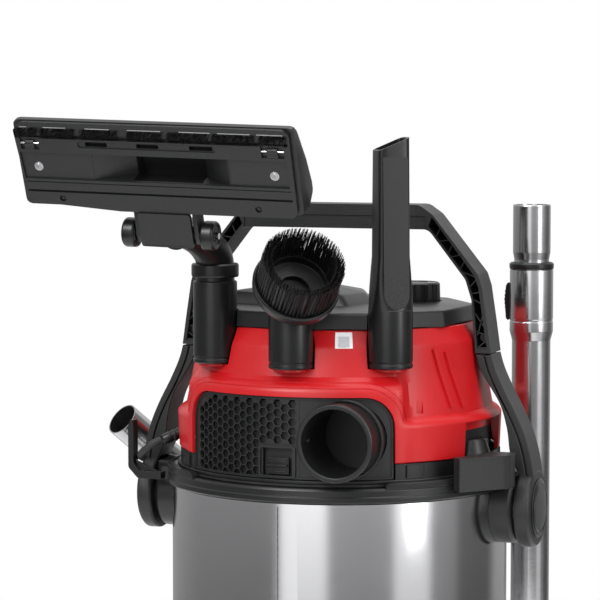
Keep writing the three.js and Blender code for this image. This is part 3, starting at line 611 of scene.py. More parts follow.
def make_base():
    top = 79.6
    wall = turned([(0, 74.8), (168, 74.8, 1), (168, 68.4, 0.8), (171.6, 68.4, 1.2), (171.6, 83, 2.0),
                            (169.8, 85.7, 1.0), (163.6, 85.7, 1.0), (162.3, 84), (162.3, top), (0, top)],
                  steps=144, round_=0.3)
    parts = [wall]
    for sx, sy in ((1, 1), (-1, 1), (-1, -1), (1, -1)):
        foot = turned([(0, 62.2), (33.6, 62.2, 2), (33.6, 74, 3), (30.5, top - 0.2, 3), (0, top - 0.2)],
                      (sx * LOBE, sy * LOBE, 0), Z, 56, round_=0.4)
        hole = rod(5.7, (sx * LOBE, sy * LOBE, 50), (sx * LOBE, sy * LOBE, 76), 24)
        web = slab([(sx * 70, sy * 122), (sx * 122, sy * 70), (sx * 170, sy * 124), (sx * 124, sy * 170)],
                   "xy", 72.8, top - 0.3)
        parts.append(cut(foot, hole))
        parts.append(web)
        # The tube's socket stands where the fourth boss would be.
        if (sx, sy) != (1, 1):
            parts.append(turned([(0, 72), (13, 72), (13, 81.4, 1.2), (9.5, 82.6, 0.8), (0, 82.6)],
                                (sx * LOBE, sy * LOBE, 0), Z, 40, round_=0.3))
    socket = turned([(19.5, 84), (19.5, 127.8, 1), (23.0, 127.8, 1.5), (26.6, 122, 3), (26.6, 80),
                     (0, 80), (0, 84)], (LOBE, LOBE, 0), Z, 56, round_=0.2)
    parts.append(socket)
    piece("base_shell", together(*parts), "grained", "tank", ["base_tray"], angle=32)


def make_yoke(corner, x, y, hub):
    plate = turned([(0, 56.6), (15, 56.6, 1), (18.6, 59.4, 1), (18.6, 61.6), (5, 61.6), (5, 75), (0, 75.4)],
                   (x, y, 0), Z, 40, round_=0.3)
    outline = softened([(hub - 8.5, 19, 6), (hub + 8.5, 19, 6), (y + 15, 55, 4), (y + 15, 60.6),
                        (y - 17, 60.6), (y - 19, 52, 5)], 3, True, 4)
    cheeks = []
    for side in (-1, 1):
        inner, outer = x + side * 11.6, x + side * 13.9
        cheeks.append(slab(outline, "yz", min(inner, outer), max(inner, outer)))
        cheeks.append(rod(5.2, (outer, hub, WHEEL_R), (x + side * 15.2, hub, WHEEL_R), 20, edge=0.8))
    crown = slab(softened([(hub - 4, 47), (y + 15, 47), (y + 15, 60.6), (y - 17, 60.6)], 4, True), "yz",
                 x - 13.9, x + 13.9)
    arch = rod(26.4, (x - 20, hub, WHEEL_R), (x + 20, hub, WHEEL_R), 48)
    piece("caster_yoke_" + corner, together(plate, *cheeks, cut(crown, arch)), "black", "swivel_" + corner,
          ["caster_fork_" + corner], angle=32)


def make_tyre(corner, x, hub):
    """A caster's wheel with six raised spokes on each face."""
    tread = turned([(4.3, -10.9), (8, -10.9, 1), (8.6, -9, 0.8), (17.5, -9, 0.8), (18.2, -10.9, 0.8),
                    (22, -10.9, 2), (24.95, -7.4, 2.5), (24.95, 7.4, 2.5), (22, 10.9, 2), (18.2, 10.9, 0.8),
                    (17.5, 9, 0.8), (8.6, 9, 0.8), (8, 10.9, 1), (4.3, 10.9)],
                   (x, hub, WHEEL_R), X, 64, ring=True, round_=0.3)
    spokes = []
    for k in range(6):
        way = Vector((0, *polar(1, k * 60)))
        side = Vector((0, -way.z, way.y))
        base = Vector((x, hub, WHEEL_R))
        for face in (-1, 1):
            loop = [base + way * u + side * v + Vector((face * 8.6, 0, 0))
                    for u, v in oblong(8, -1.1, 18, 1.1)]
            spokes.append(skin([loop, [p + Vector((face * 1.9, 0, 0)) for p in loop]]))
    piece("caster_tyre_" + corner, together(tread, *spokes), "grey", "wheel_" + corner,
          ["caster_wheel_" + corner], angle=32)


def make_casters():
    for corner, sx, sy in (("back_right", 1, 1), ("back_left", -1, 1), ("left", -1, -1), ("right", 1, -1)):
        x, y = sx * LOBE, sy * LOBE
        hub = y - CASTER_TRAIL
        make_yoke(corner, x, y, hub)
        make_tyre(corner, x, hub)
        axle = rod(3.9, (x - 15.9, hub, WHEEL_R), (x + 15.9, hub, WHEEL_R), 20, edge=0.5)
        piece("caster_axle_" + corner, axle, "bright", "swivel_" + corner)


def make_pivots():
    drum = rod(DRUM_R + 0.2, (0, 0, 380), (0, 0, 478), 120)
    rim = rod(RIM_R, (0, 0, 477.8), (0, 0, 600), 120)
    hub = turned([(8.4, 140), (34, 140), (34, 174.5, 2.5), (31.5, 178.2, 1.2), (24, 178.2, 0.8),
                  (23, 176.4, 0.8), (14, 176.4), (14, 178.2), (8.4, 178.2)], (0, 0, PIVOT_Z), X, 72,
                 ring=True, round_=0.4)
    seat = slab(oblong(-22, 470, 22, 491.6, 3), "yz", 150, 178)
    left = cut(joined(hub, seat), drum, rim)
    right = left.copy()
    piece("pivot_seat_left", mirrored(left), "black", "tank", ["pivot_housing_left"], angle=32)
    outline = softened([(126, -80), (140, -90, 1), (147, -98.6, 1.2), (179, -63.6, 1.2), (184, -57, 1.2),
                        (184, -38, 4), (150, -38)], 1.2, True)
    bracket = slab(outline, "xy", 485.6, 516.0)
    low = slab(oblong(152, -40, 176, -2, 3), "xy", 482, 494)
    shelf = slab(softened([(126, -80.6), (140, -90.8, 1), (147, -99.4, 1), (179.6, -63.8, 1),
                           (184.6, -57, 1), (184.6, -37.5, 4), (150, -37.5)], 1.2, True), "xy", 514.6,
                 516.4)
    body = cut(joined(bracket, low, shelf), rim)
    piece("pivot_seat_right", together(right, body), "grained", "tank", ["pivot_housing_right"], angle=32)
    for name in ("right", "left"):
        repaint("pivot_pin_" + name, "bright")


def make_hook():
    outline = softened([(-160, 478.7), (-184, 478.7, 5), (-193.8, 489, 6), (-193.8, 529, 3),
                        (-191.5, 534.8, 1.5), (-189.3, 534.6, 1), (-188.2, 528, 2), (-188.2, 493, 5),
                        (-182, 486, 4), (-160, 485.8)], 1.0, True, 4)
    hook = slab(outline, "xz", -60.8, -49.2)
    keep = rod(RIM_R, (0, 0, 450), (0, 0, 600), 96)
    rib = slab([(-166, 486), (-184, 486), (-188.4, 496)], "xz", -56.4, -53.6)
    piece("cord_hook", cut(joined(hook, rib), keep), "soft", "tank", ["cable_hook"], bevel=0.7)


def make_cradle():
    z = 350
    out = HAND_AT.normalized()
    side = Vector((-out.y, out.x, 0))
    loops = []
    band = oblong(18.9, z + 1, 21.8, z + 25, 0.9, 2)
    for k in range(37):
        a = math.radians(90 + 284 * k / 36)
        way = -out * math.cos(a - math.pi) + side * math.sin(a - math.pi)
        loops.append([HAND_AT + way * r + Vector((0, 0, h)) for r, h in band])
    wall = rod(160.2, (0, 0, 300), (0, 0, 420), 96)
    strut = [out * r + side * s for r, s in oblong(155, -9, HAND_AT.length - 19.5, 9)]
    arm = cut(slab([(p.x, p.y) for p in strut], "xy", z + 0.6, z + 13.5), wall)
    piece("hand_tube_cradle", together(skin(loops), arm), "soft", "tank", ["hand_tube_clip"], angle=35)


# ---- mains cord ----

CORD_R, COIL_AT = 3.75, Vector((0.0, 245.0, 0.0))
GLAND, GLAND_END = Vector((-134, -50, 527)), Vector((-158, -64, 517))
PLUG_AT = Vector((12.0, 289.0, 48.6))


def coil_line():
    """Four layers of four turns, wound inwards and outwards by turns, up to the plug's end."""
    gap = 2 * CORD_R + 0.06
    radii = [45.0 + gap * (i - 1.5) for i in range(4)]
    order = [3, 2, 1, 0, 0, 1, 2, 3] * 2
    per_turn, last = 48, 13
    line = []
    z = CORD_R + 0.05
    for n, now in enumerate(order):
        then = order[min(n + 1, 15)]
        rise = gap if n % 4 == 3 and n < 15 else 0
        for k in range(per_turn if n < 15 else last):
            t = k / per_turn
            radius = radii[now] + (radii[then] - radii[now]) * smooth_step(t, 0.40, 0.72)
            a = 2 * math.pi * (t - 0.25)
            line.append(COIL_AT + Vector((radius * math.cos(a), radius * math.sin(a),
                                          z + rise * smooth_step(t, 0.72, 1.0))))
        z += rise
    return line


def cord_line(start):
    """The whole cord, from the gland over the cable hook and down to the coil, then up to the plug."""
    way = (GLAND_END - GLAND).normalized()
    floor = CORD_R + 0.6
    coil = coil_line()
    lead = [start, GLAND_END + way * 7, (-173.6, -66.8, 507.4), (-180.4, -61, 501.8),
            (-181.8, -53, 498.5), (-186, -43, 497), (-201, -19, 495.2), (-206.8, 6, 490), (-204, 40, 475),
            (-196, 70, 437), (-190, 82, 395), (-192, 78, 340), (-203, 62, 260), (-210, 50, 150),
            (-213, 53, 60), (-213, 55.5, 37), (-213.5, 62, 21), (-214, 72, 10.5), (-215, 86, floor + 0.6),
            (-216, 106, floor), (-216, 150, floor), (-208, 184, floor), (-180, 211, floor),
            (-135, 220, floor), (-95, 209, floor), (-58, 195, floor), (-30, 189.5, floor - 0.3), coil[0]]
    tail = [coil[-1], (52.5, 265.4, 27.4), (45.5, 277.8, 31), (35.4, 286.6, 37.5), (24, 289.6, 44.4),
            PLUG_AT, PLUG_AT - Vector((5, 0, 0))]
    return curve_through(lead, 300)[:-1] + coil[:-1] + curve_through(tail, 26)


def make_cord():
    exit_ = GLAND_END + (GLAND_END - GLAND).normalized() * 0.8
    points = cord_line(exit_)
    data = bpy.data.curves.new("mains_cord", "CURVE")
    data.dimensions = "3D"
    data.bevel_depth = CORD_R * MM
    data.bevel_resolution = 3
    data.use_fill_caps = True
    data.materials.append(LOOK["rubber"])
    spline = data.splines.new("POLY")
    spline.points.add(len(points) - 1)
    for knot, point in zip(spline.points, points):
        knot.co = (*placed(point), 1)
    cord = bpy.data.objects.new("mains_cord", data)
    bpy.context.scene.collection.objects.link(cord)
    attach(cord, "tank")
    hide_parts("power_cord", "cord_coil")
    plug = make_plug()
    make_gland()


def make_plug():
    x, y, z = PLUG_AT
    body = turned([(0, 0), (5.4, 0, 1), (5.9, 7, 0), (7.6, 14, 4), (13.5, 17, 4), (16.6, 24, 5),
                   (16.8, 41, 1), (15.6, 45.6, 1.5), (0, 45.6)], (x, y, z), (-1, 0, 0), 56, round_=0.3)
    ribs = [turned([(4.6, 0), (5.9, 0), (5.9, 1.1), (4.6, 1.1)], (x - 1.2 - 2.4 * k, y, z), (-1, 0, 0),
                   32, ring=True) for k in range(5)]
    pins = [rod(2.3, (x - 44, y + s * 9.5, z), (x - 64.5, y + s * 9.5, z), 24, edge=0.8) for s in (-1, 1)]
    sleeves = [rod(2.35, (x - 44, y + s * 9.5, z), (x - 54, y + s * 9.5, z), 24) for s in (-1, 1)]
    return piece("mains_plug_body", together(body, *ribs, *sleeves), "rubber", "tank", ["mains_plug"],
                 angle=35, extra=[(together(*pins), "bright")])


def make_gland():
    relief = turned([(3.9, -9), (7.4, -9), (8.6, -7, 1), (8.6, -3.5, 1), (6.9, -2), (6.6, 0), (6.7, 2.2),
                     (5.5, 2.9), (5.5, 4.3), (6.5, 5), (6.4, 7.2), (5.3, 7.9), (5.3, 9.3), (6.2, 10),
                     (6.1, 12.2), (5.1, 12.9), (5.1, 14.3), (5.9, 15), (5.8, 17.2), (4.9, 17.9),
                     (4.9, 19.3), (5.6, 20), (5.4, 23), (4.6, 27.6), (3.9, 28.2)], GLAND,
                    GLAND_END - GLAND, 48, ring=True, round_=0.35)
    piece("cord_gland", relief, "soft", "head", ["cable_gland"], angle=40)


# ---- carrying handle ----

BAIL_Y = 18.0


def shifted(line, distance):
    """An open 2-D line moved sideways."""
    moved_line = []
    for i, point in enumerate(line):
        before, after = Vector(line[max(i - 1, 0)]), Vector(line[min(i + 1, len(line) - 1)])
        way = (after - before).normalized()
        moved_line.append((point[0] - way.y * distance, point[1] + way.x * distance))
    return moved_line


def smooth_line(points, count):
    return [(p.x, p.y) for p in curve_through([(x, z, 0) for x, z in points], count)]


def channel(side, wall, front, back):
    """The hollow along one half of the handle's front, inside a rim of the given width."""
    line = shifted(softened([(153.0, 609.5), (149, 635), (144.4, 667), (140, 679), (98.5, 733.5)], 8), wall)
    line += softened([(92.6, 723.0), (130.5, 675.8, 9), (136.8, 655.6, 9), (140.8, 609.5)], 2)
    return slab([(x * side, z) for x, z in line], "xz", front, back)


def make_bow():
    outer = softened([(154, 605.4, 0), (150, 634, 12), (145, 667, 8), (141, 679, 6), (97, 734, 14),
                      (84, 743, 12), (0, 743, 0)], 0, False, 4)
    inner = softened([(0, 720, 0), (93, 720, 10), (129, 674, 10), (135, 655, 10), (139, 605.4, 0)], 0,
                     False, 4)
    far_outer, far_inner = ([(-x, z) for x, z in reversed(line)] for line in (outer, inner))
    outline = outer + far_outer[1:] + far_inner + inner[1:]
    bow = slab(outline, "xz", -BAIL_Y, BAIL_Y)
    panel = slab(oblong(-90.5, 716, 90.5, 732.6, 1.5), "xz", -BAIL_Y - 2, -BAIL_Y + 1.4)
    pockets = [channel(side, 2.8, -BAIL_Y - 2, BAIL_Y - 4) for side in (1, -1)]
    piece("bail_grip_bow", cut(bow, *pockets, panel), "grained", "bail", ["bail_bow"], bevel=1.3, steps=3)


def make_bow_ribs():
    ribs = []
    stations = [((141.5, 611), (151.5, 619)), ((141.3, 625), (146.5, 645)), ((140.5, 625), (150, 622)),
                ((139.6, 640), (150, 625)), ((137, 655), (147, 650)), ((135.5, 661), (146, 663)),
                ((133.0, 667), (140.5, 676)), ((122.5, 682), (139, 676)), ((122.5, 682), (128, 692)),
                ((113, 694), (124, 697)), ((111, 696.5), (116, 707)), ((101, 709), (113, 710.5)),
                ((99, 711.5), (104, 722))]
    for a, b in stations:
        start, end = Vector(a), Vector(b)
        way = (end - start).normalized()
        square = Vector((-way.y, way.x)) * 0.55
        start, end = start - way * 3, end + way * 3
        for side in (1, -1):
            loop = [(p.x * side, p.y) for p in (start + square, end + square, end - square, start - square)]
            ribs.append(shared(slab(loop, "xz", -BAIL_Y + 2.6, BAIL_Y - 3),
                               channel(side, 2.0, -BAIL_Y, BAIL_Y)))
    for side in (1, -1):
        foot = ((138.9, 605.8), (153.9, 605.8), (152.9, 611), (140, 611))
        ribs.append(slab([(x * side, z) for x, z in foot], "xz", -BAIL_Y + 1.4, BAIL_Y - 2))
        ribs.append(screw((146.5 * side, -BAIL_Y + 6.5, 620), (0, -1, 0), 3.0))
        ribs.append(rod(4.3, (146.5 * side, -BAIL_Y + 6.6, 620), (146.5 * side, BAIL_Y - 3, 620), 24))
    piece("bail_ribs", together(*ribs), "black", "bail")


def make_arms():
    outer = smooth_line([(154, 604.6), (157.6, 592), (166, 573), (179, 548), (187.5, 528), (193, 508),
                         (195.7, 488), (196, 466)], 40)
    inner = smooth_line([(139.2, 604.6), (142.5, 593), (151, 578), (163, 558), (169.6, 536), (173, 512),
                         (177.5, 500), (181, 494)], 40)
    inner.append((181, 462))
    # An outer band and a core, with a fine groove between them.
    core = slab(shifted(outer, -7.4) + list(reversed(inner)), "xz", -BAIL_Y, BAIL_Y)
    band = slab(outer + list(reversed(shifted(outer, -6.2))), "xz", -BAIL_Y + 0.2, BAIL_Y)
    filler = slab(shifted(outer, -3.0) + list(reversed(shifted(inner, 3.0))), "xz", -BAIL_Y + 3.2,
                  BAIL_Y - 1.5)
    disc = turned([(0, 181), (35.5, 181, 1), (36.9, 183, 1.5), (36.9, 193.5, 3), (34.2, 195.9, 1.5),
                   (30.8, 195.9, 0.8), (30.2, 194.6, 0.6), (28.9, 194.6, 0.4), (28.9, 196, 0.5),
                   (0, 196)], (0, 0, PIVOT_Z), X, 96, round_=0.4)
    right = together(core, band, filler, disc)
    copy = right.copy()
    piece("bail_leg_right", right, "grained", "bail", ["bail_arm_right"], bevel=0.9, steps=3, angle=40)
    piece("bail_leg_left", mirrored(copy), "grained", "bail", ["bail_arm_left"], bevel=0.9, steps=3,
          angle=40)


def make_caps():
    for name, side in (("right", 1), ("left", -1)):
        cap = turned([(0, 196.2), (27.6, 196.2), (27.6, 197.3, 0.6), (24.6, 198.5, 0.8),
                      (23.8, 197.4, 0.4), (22.4, 197.4, 0.4), (21.6, 198.4, 0.5), (0, 198.5)],
                     (0, 0, PIVOT_Z), X, 96, round_=0.2)
        piece("bail_cap_" + name, cap if side > 0 else mirrored(cap), "soft", "bail",
              ["pivot_cap_" + name], angle=30)


# ---- motor head ----

COVER = (512.8, 632.0)
BROW = (-141.0, -47.0)
TOOL_AT = {"nozzle": (-85.0, -111.0), "brush": (0.0, -142.0), "crevice": (85.0, -111.0)}
PORT_X, PORT_Z = 51.0, 535.0


def cover_radius(angle, z):
    """The cover's outside, with the raised brow over the vent panel."""
    plain = between(z, [[512, 153], [545.5, 154.5], [547, 154], [550, 151.5], [553.5, 146.2], [592, 138.7],
                        [617, 136.4], [619, 135.6], [632, 127.2]])
    low = abs(angle - (BROW[0] + BROW[1]) / 2)
    half = (BROW[1] - BROW[0]) / 2
    brow = between(z, [[512, 155], [574, 155], [579, 154.2], [584, 151.2], [587, 147], [591, 143.4],
                       [601, 140.6], [616, 136.8], [618.5, 135.6], [632, 127.2]])
    share = 1 - smooth_step(low, half - 4.0, half + 1.5)
    return plain + (brow - plain) * share


def cover_shell():
    low, high = COVER
    zs = [low, low + 0.8, 545.5, 547, 548.5, 550, 551.8, 553.5, 556, 574, 576, 577.5, 579, 580.5, 582,
          583.5, 585, 586.5, 588, 591, 617, 618, 619, 621, 625, 629, high - 0.6, high]
    for first, count in ((516, 8), (560, 4), (595, 6)):
        zs += [first + 4 * k for k in range(count)]
    bearings = [-200 + 360 * k / 240 for k in range(240)]
    loops = []
    for z in sorted(set(zs)):
        dip = 0.7 if z in (low, high) else 0
        loops.append([(*polar(cover_radius(a, z) - dip, a), z) for a in bearings])
    inside = [[(*polar(cover_radius(a, z) - 3, a), z) for a in bearings] for z in (high, 600, 560, low)]
    return skin(loops + inside, ring=True)


def sector(start, end, inner, outer, low, high, steps=24):
    """A ring's part between two bearings."""
    spots = []
    for radius, order in ((outer, 1), (inner, -1)):
        turn = [math.radians(start + (end - start) * k / steps) for k in range(steps + 1)][::order]
        spots += [(radius * math.cos(a), radius * math.sin(a)) for a in turn]
    return slab(spots, "xy", low, high)


def on_wall(points, inner, outer):
    """A small shape of [bearing, height] points between two radii."""
    return skin([[(*polar(radius, a), z) for a, z in points] for radius in (inner, outer)])


def hugging(shape, middle, low, high, angle=None):
    """Draws a shape's inner and outer points to the cover's outside, each to its own height over it."""
    for vertex in shape.verts:
        at = math.degrees(math.atan2(vertex.co.y, vertex.co.x)) if angle is None else angle
        now = Vector((vertex.co.x, vertex.co.y)).length
        want = cover_radius(at, vertex.co.z) + (high if now > middle else low)
        vertex.co.x *= want / now
        vertex.co.y *= want / now
    return shape


ARC = math.radians(1) * 151


def bent(flat):
    """A shape drawn flat, x along the wall from -90 degrees and y outwards, rolled onto the wall."""
    reach = [v.co.x for v in flat.verts]
    cut_at = math.ceil(min(reach) / 5) * 5
    while cut_at < max(reach):
        geometry = flat.verts[:] + flat.edges[:] + flat.faces[:]
        bmesh.ops.bisect_plane(flat, geom=geometry, plane_co=(cut_at, 0, 0), plane_no=(1, 0, 0), dist=0.01)
        cut_at += 5
    for vertex in flat.verts:
        turn, radius = math.radians(vertex.co.x / ARC - 90), -vertex.co.y
        vertex.co.x, vertex.co.y = radius * math.cos(turn), radius * math.sin(turn)
    return flat


def wall_slab(points, inner, outer):
    """A flat shape for bent(), from an outline of [bearing, height] points."""
    return slab([((a + 90) * ARC, z) for a, z in points], "xz", -outer, -inner)


def bar_on_wall(start, end, width, inner, outer):
    """A narrow raised line between two [bearing, height] points."""
    steps = 12
    loops = []
    (a0, z0), (a1, z1) = start, end
    way = Vector((math.radians(a1 - a0) * 150, z1 - z0)).normalized()
    square = Vector((-way.y, way.x)) * width / 2
    for k in range(steps + 1):
        t = k / steps
        a, z = a0 + (a1 - a0) * t, z0 + (z1 - z0) * t
        loop = []
        for side, radius in ((-1, inner), (-0.7, outer), (0.7, outer), (1, inner)):
            turn = math.radians(a) + square.x * side / 150
            loop.append((radius * math.cos(turn), radius * math.sin(turn), z + square.y * side))
        loops.append(loop)
    return skin(loops)


def panel_outline(inset=0.0):
    """The vent panel's border in [bearing, height] points, its top corners rounded."""
    steps = 10
    a0, a1 = -134.0 + inset / 2.6, -53.0 - inset / 2.6
    top, low, round_ = 573.0 - inset, 498.3 + inset, 28.0 - inset
    line = [(a0, low)]
    for k in range(steps + 1):
        t = math.pi - math.pi / 2 * k / steps
        line.append((a0 + (round_ + round_ * math.cos(t)) / 2.65, top - round_ + round_ * math.sin(t)))
    for k in range(1, 24):
        line.append((line[steps + 1][0] + (a1 - round_ / 2.65 - line[steps + 1][0]) * k / 24, top))
    for k in range(steps + 1):
        t = math.pi / 2 - math.pi / 2 * k / steps
        line.append((a1 + (-round_ + round_ * math.cos(t)) / 2.65, top - round_ + round_ * math.sin(t)))
    line.append((a1, low))
    for k in range(1, 30):
        line.append((a1 + (a0 - a1) * k / 30, low))
    return line


def pocket_shape(x, y, half, reach, low, high):
    """A round-ended slot about a tool's socket, open away from the middle."""
    spot = Vector((x, y, 0))
    away = spot.normalized()
    side = Vector((-away.y, away.x, 0))
    loop = [spot + side * half * math.cos(t) - away * half * math.sin(t) for t in
            (math.pi * k / 24 for k in range(25))]
    loop += [spot - side * half + away * reach, spot + side * half + away * reach]
    return slab([(p.x, p.y) for p in loop], "xy", low, high)


def make_cover():
    shell = cover_shell()
    tools = [bent(wall_slab(panel_outline(-0.6), 120, 170))]
    spigots = []
    for x, y in TOOL_AT.values():
        tools.append(pocket_shape(x, y, 22.0, 60, 598, 660))
        # The pocket's own floor and wall, kept inside the cover's outside.
        core = [[(*polar(cover_radius(a, z) - 0.4, a), z) for a in (-200 + 3 * k for k in range(120))]
                for z in (590, 600, 610, 617, 619, 631.9)]
        wall = shared(pocket_shape(x, y, 24.4, 40, 594.5, 631.6), skin(core))
        spigots.append(cut(wall, pocket_shape(x, y, 22.0, 60, 598, 660)))
        spigots.append(turned([(11, 596), (15.2, 596), (15.2, 619, 1), (13.6, 620, 0.5), (11, 620)],
                              (x, y, 0), Z, 40, ring=True))
    tools.append(sector(-23, 6, 146, 170, 510, 545))
    tools.append(on_wall([(-43, 556.5), (-40.2, 556), (-39.7, 585.5), (-42.2, 587)], 143.4, 170))
    tools.append(rod(8.0, (-126, -45.5, 530), (-163, -67, 514.6), 32))
    shell = cut(shell, *tools)
    ribs = [hugging(bar_on_wall(start, end, 5.2, 136, 145), 140, -1.5, 2.8)
            for start, end in (((-33.0, 614), (-27.0, 560)), ((-27.0, 611), (-20.6, 559)))]
    piece("cover_shell", together(shell, *spigots, *ribs), "red", "head", ["head_cover"], angle=24)


def make_creases():
    """The two fine lines that follow the brow's upper edge."""
    creases = []
    for inset in (-8.6, -13.4):
        line = [p for p in panel_outline(inset) if p[1] > 546]
        loops = []
        for a, z in line:
            r = cover_radius(a, z) + 0.02
            section = ((r - 0.5, -0.7), (r + 0.42, -0.25), (r + 0.42, 0.25), (r - 0.5, 0.7))
            loops.append([(*polar(radius, a), z + h) for radius, h in section])
        creases.append(skin(loops))
    piece("cover_creases", together(*creases), "red", "head", angle=60)


def make_sticker():
    """A small blank label and the plain bar on it."""
    sticker = hugging(on_wall(oblong(-73.6, 616.6, -66.8, 630.6), 126, 137), 130, -1, 0.35, -70)
    mark = hugging(on_wall(oblong(-72.2, 617.8, -68.0, 627.0), 126, 137), 130, 0.1, 0.62, -70)
    piece("cover_sticker", sticker, "label", "head", extra=[(mark, "labelgrey")])


def make_side_latch():
    # The latch's round dish and the back wall of the pocket behind the cover's window, in the darker black
    # that paints shade into the pocket.
    dish = turned([(0, 0), (13.5, 0), (13.5, 12, 1.2), (12, 13.4, 1), (0, 13.4)], (138, -18, 512.6), Z,
                  48, round_=0.3)
    back = sector(-25, 8, 143.5, 145.6, 512.4, 546)
    piece("cover_side_latch", together(dish, back), "painted_shade", "head")


def panel_holes():
    """The panel's field of hexagons, before it is rolled onto the wall."""
    holes = []
    column, at = 0, (-86.2 + 90 - 2.1) * ARC
    while at > (-132.6 + 90) * ARC:
        a = at / ARC - 90
        z = 500.6 + (4.15 if column % 2 else 0)
        while z < 567.6:
            corner = 3.6 * smooth_step(z, 548, 572) * 2.4
            if a > -131.6 + corner and not (-101.9 < a < -86.4 and z < 531):
                loop = [(at + 4.2 * math.cos(math.pi / 3 * k), z + 4.2 * math.sin(math.pi / 3 * k))
                        for k in range(6)]
                holes.append(slab(loop, "xz", -160, -140))
            z += 8.3
        at -= 7.2
        column += 1
    return together(*holes)


def make_panel():
    port = rod(35.2, (PORT_X, -90, PORT_Z), (PORT_X, -200, PORT_Z), 72)
    border = cut(wall_slab(panel_outline(0.2), 149, 152.2), wall_slab(panel_outline(2.2), 145, 160))
    plate = cut(wall_slab(panel_outline(), 148.5, 151.4), panel_holes(),
                wall_slab(oblong(-99.2, 500.6, -88.4, 526), 140, 160))
    # A raised frame about the cleaning slider's slot.
    shapes = []
    for less in (0, 0.62):
        a0, a1, z0, z1 = -100.6 + less, -87.0 - less, 499.6 + 2.6 * less, 528.4 - 2.6 * less
        shapes.append(oblong((a0 + 90) * ARC, z0, (a1 + 90) * ARC, z1, 3.0))
    slot_frame = cut(slab(shapes[0], "xz", -153.2, -149.5), slab(shapes[1], "xz", -160, -140))
    line = moved(slab(oblong(-5.0, 498.6, -3.9, 571), "xz", -151.8, -150),
                 Matrix.Translation(((-86.0 + 90) * ARC + 4.5, 0, 0)))
    # A sheet in the darker black behind the holes: painted shade where the vent's inside would be seen.
    back = bent(wall_slab([(-133.4, 500.5), (-132.6, 548), (-126, 566), (-118, 569), (-87.2, 569),
                           (-87.2, 500.5)], 146.2, 147.2))
    parts = [cut(bent(part), port) for part in (plate, border, line)] + [bent(slot_frame)]
    collar = turned([(35.3, 0), (37.4, 0, 0.6), (37.4, 4.2, 1), (35.3, 4.2)], (PORT_X, -139.6, PORT_Z),
                    (0, -1, 0), 72, ring=True)
    piece("vent_grille", together(*parts, collar), "grained", "head", ["vent_panel"], angle=28,
          extra=[(back, "painted_shade")])


def make_cleaning_tab():
    tab = bent(slab(oblong((-98.0 + 90) * ARC, 502.6, (-89.4 + 90) * ARC, 517.6, 1.2), "xz", -152.4,
                    -149.3))
    grip = bar_on_wall((-97.8, 510.6), (-89.8, 510.6), 2.2, 151, 154.4)
    ridges = [bar_on_wall((-97.2, z), (-90.2, z), 0.8, 151.5, 152.8) for z in (514.4, 516.2, 505.0, 507.0)]
    piece("cleaning_tab", together(tab, grip, *ridges), "soft", "slider", ["cleaning_slider"], bevel=0.3)


def make_port():
    tube = turned([(30.5, -72), (34.4, -72), (34.4, 0), (35.9, 1, 0.5), (35.9, 4.4, 1.2),
                   (34.6, 5.6, 0.8), (31.2, 5.6, 1), (30.5, 2)], (PORT_X, -166.5, PORT_Z), (0, -1, 0), 96,
                  ring=True, round_=0.3)
    # A disc in the darker black that closes the bore: painted shade deep in the port.
    back = rod(31.5, (PORT_X, -101, PORT_Z), (PORT_X, -103, PORT_Z), 64)
    bayonet = [rod(2.1, (PORT_X + s * 31, -158, PORT_Z), (PORT_X + s * 27.6, -158, PORT_Z), 16, edge=0.4)
               for s in (-1, 1)]
    piece("exhaust_port", together(tube, *bayonet), "black", "head", ["blow_port"], angle=32,
          extra=[(back, "painted_shade")])


def make_head_base():
    pan = turned([(40, 470.2), (148.8, 470.2, 2), (148.8, 494.7), (154.8, 494.7, 0.8), (154.8, 497.8, 0.8),
                  (145.2, 497.8), (145.2, 474.2, 3), (40, 474.2)], steps=168, ring=True, round_=0.3)
    band = sector(-52.3, 225.3, 148.2, 151.8, 497.6, 511.8, 140)
    ledge = turned([(0, 508.2), (18, 508.2, 2), (19.8, 511), (14.2, 527.6, 2), (0, 527.8)], (138, -30, 0),
                   Z, 48, round_=0.4)
    clips = []
    for at in (-45, 20, 75, 130, 170, -142):
        clips.append(moved(slab(oblong(150.5, -9, 153.4, 9, 0.8), "xy", 499, 510.5),
                           Matrix.Rotation(math.radians(at), 4, "Z")))
    piece("head_chassis", together(pan, band, ledge, *clips), "black", "head", ["head_base"], angle=32)


KNOB_AT = (60, 52)


def make_deck():
    corners = (-24, 16, 52, 90, 128, 164, 204, 238, 270, 302)

    def outline(radius):
        return softened([polar(radius, a) for a in corners], 5, True, 5)

    rings = [[(x, y, z) for x, y in outline(radius)] for radius, z in
             ((130.6, 632.4), (131.2, 633.4), (129.6, 645.6), (128.6, 647.0), (127, 647.6), (20, 648.6))]
    shell = skin(rings)
    rise = softened([(-118, -30), (-30, -62), (22, -48), (34, 4), (14, 60), (-60, 84), (-108, 46)], 14,
                    True, 6)
    middle = Vector((-30, 4, 0))
    crown = [[(middle.x + (x - middle.x) * share, middle.y + (y - middle.y) * share, z) for x, y in rise]
             for share, z in ((1, 645), (0.99, 648.4), (0.86, 657.2), (0.82, 658.6), (0.3, 665.4),
                              (0.24, 665.8))]
    shell = joined(shell, skin(crown))
    tools = [rod(22, (x, y, 620), (x, y, 700), 64) for x, y in TOOL_AT.values()]
    for x, y in TOOL_AT.values():
        away = Vector((x, y, 0)).normalized() * 30
        side = Vector((-away.y, away.x, 0)).normalized() * 22
        spot = Vector((x, y, 0))
        loop = [spot - side, spot + side, spot + side + away, spot - side + away]
        tools.append(skin([[(p.x, p.y, 620) for p in loop], [(p.x, p.y, 700) for p in loop]]))
    tools.append(rod(25.2, (*KNOB_AT, 645.9), (*KNOB_AT, 700), 64))
    piece("deck_shell", cut(shell, *tools), "black", "head", ["top_deck"], bevel=0.9, steps=3, angle=24)


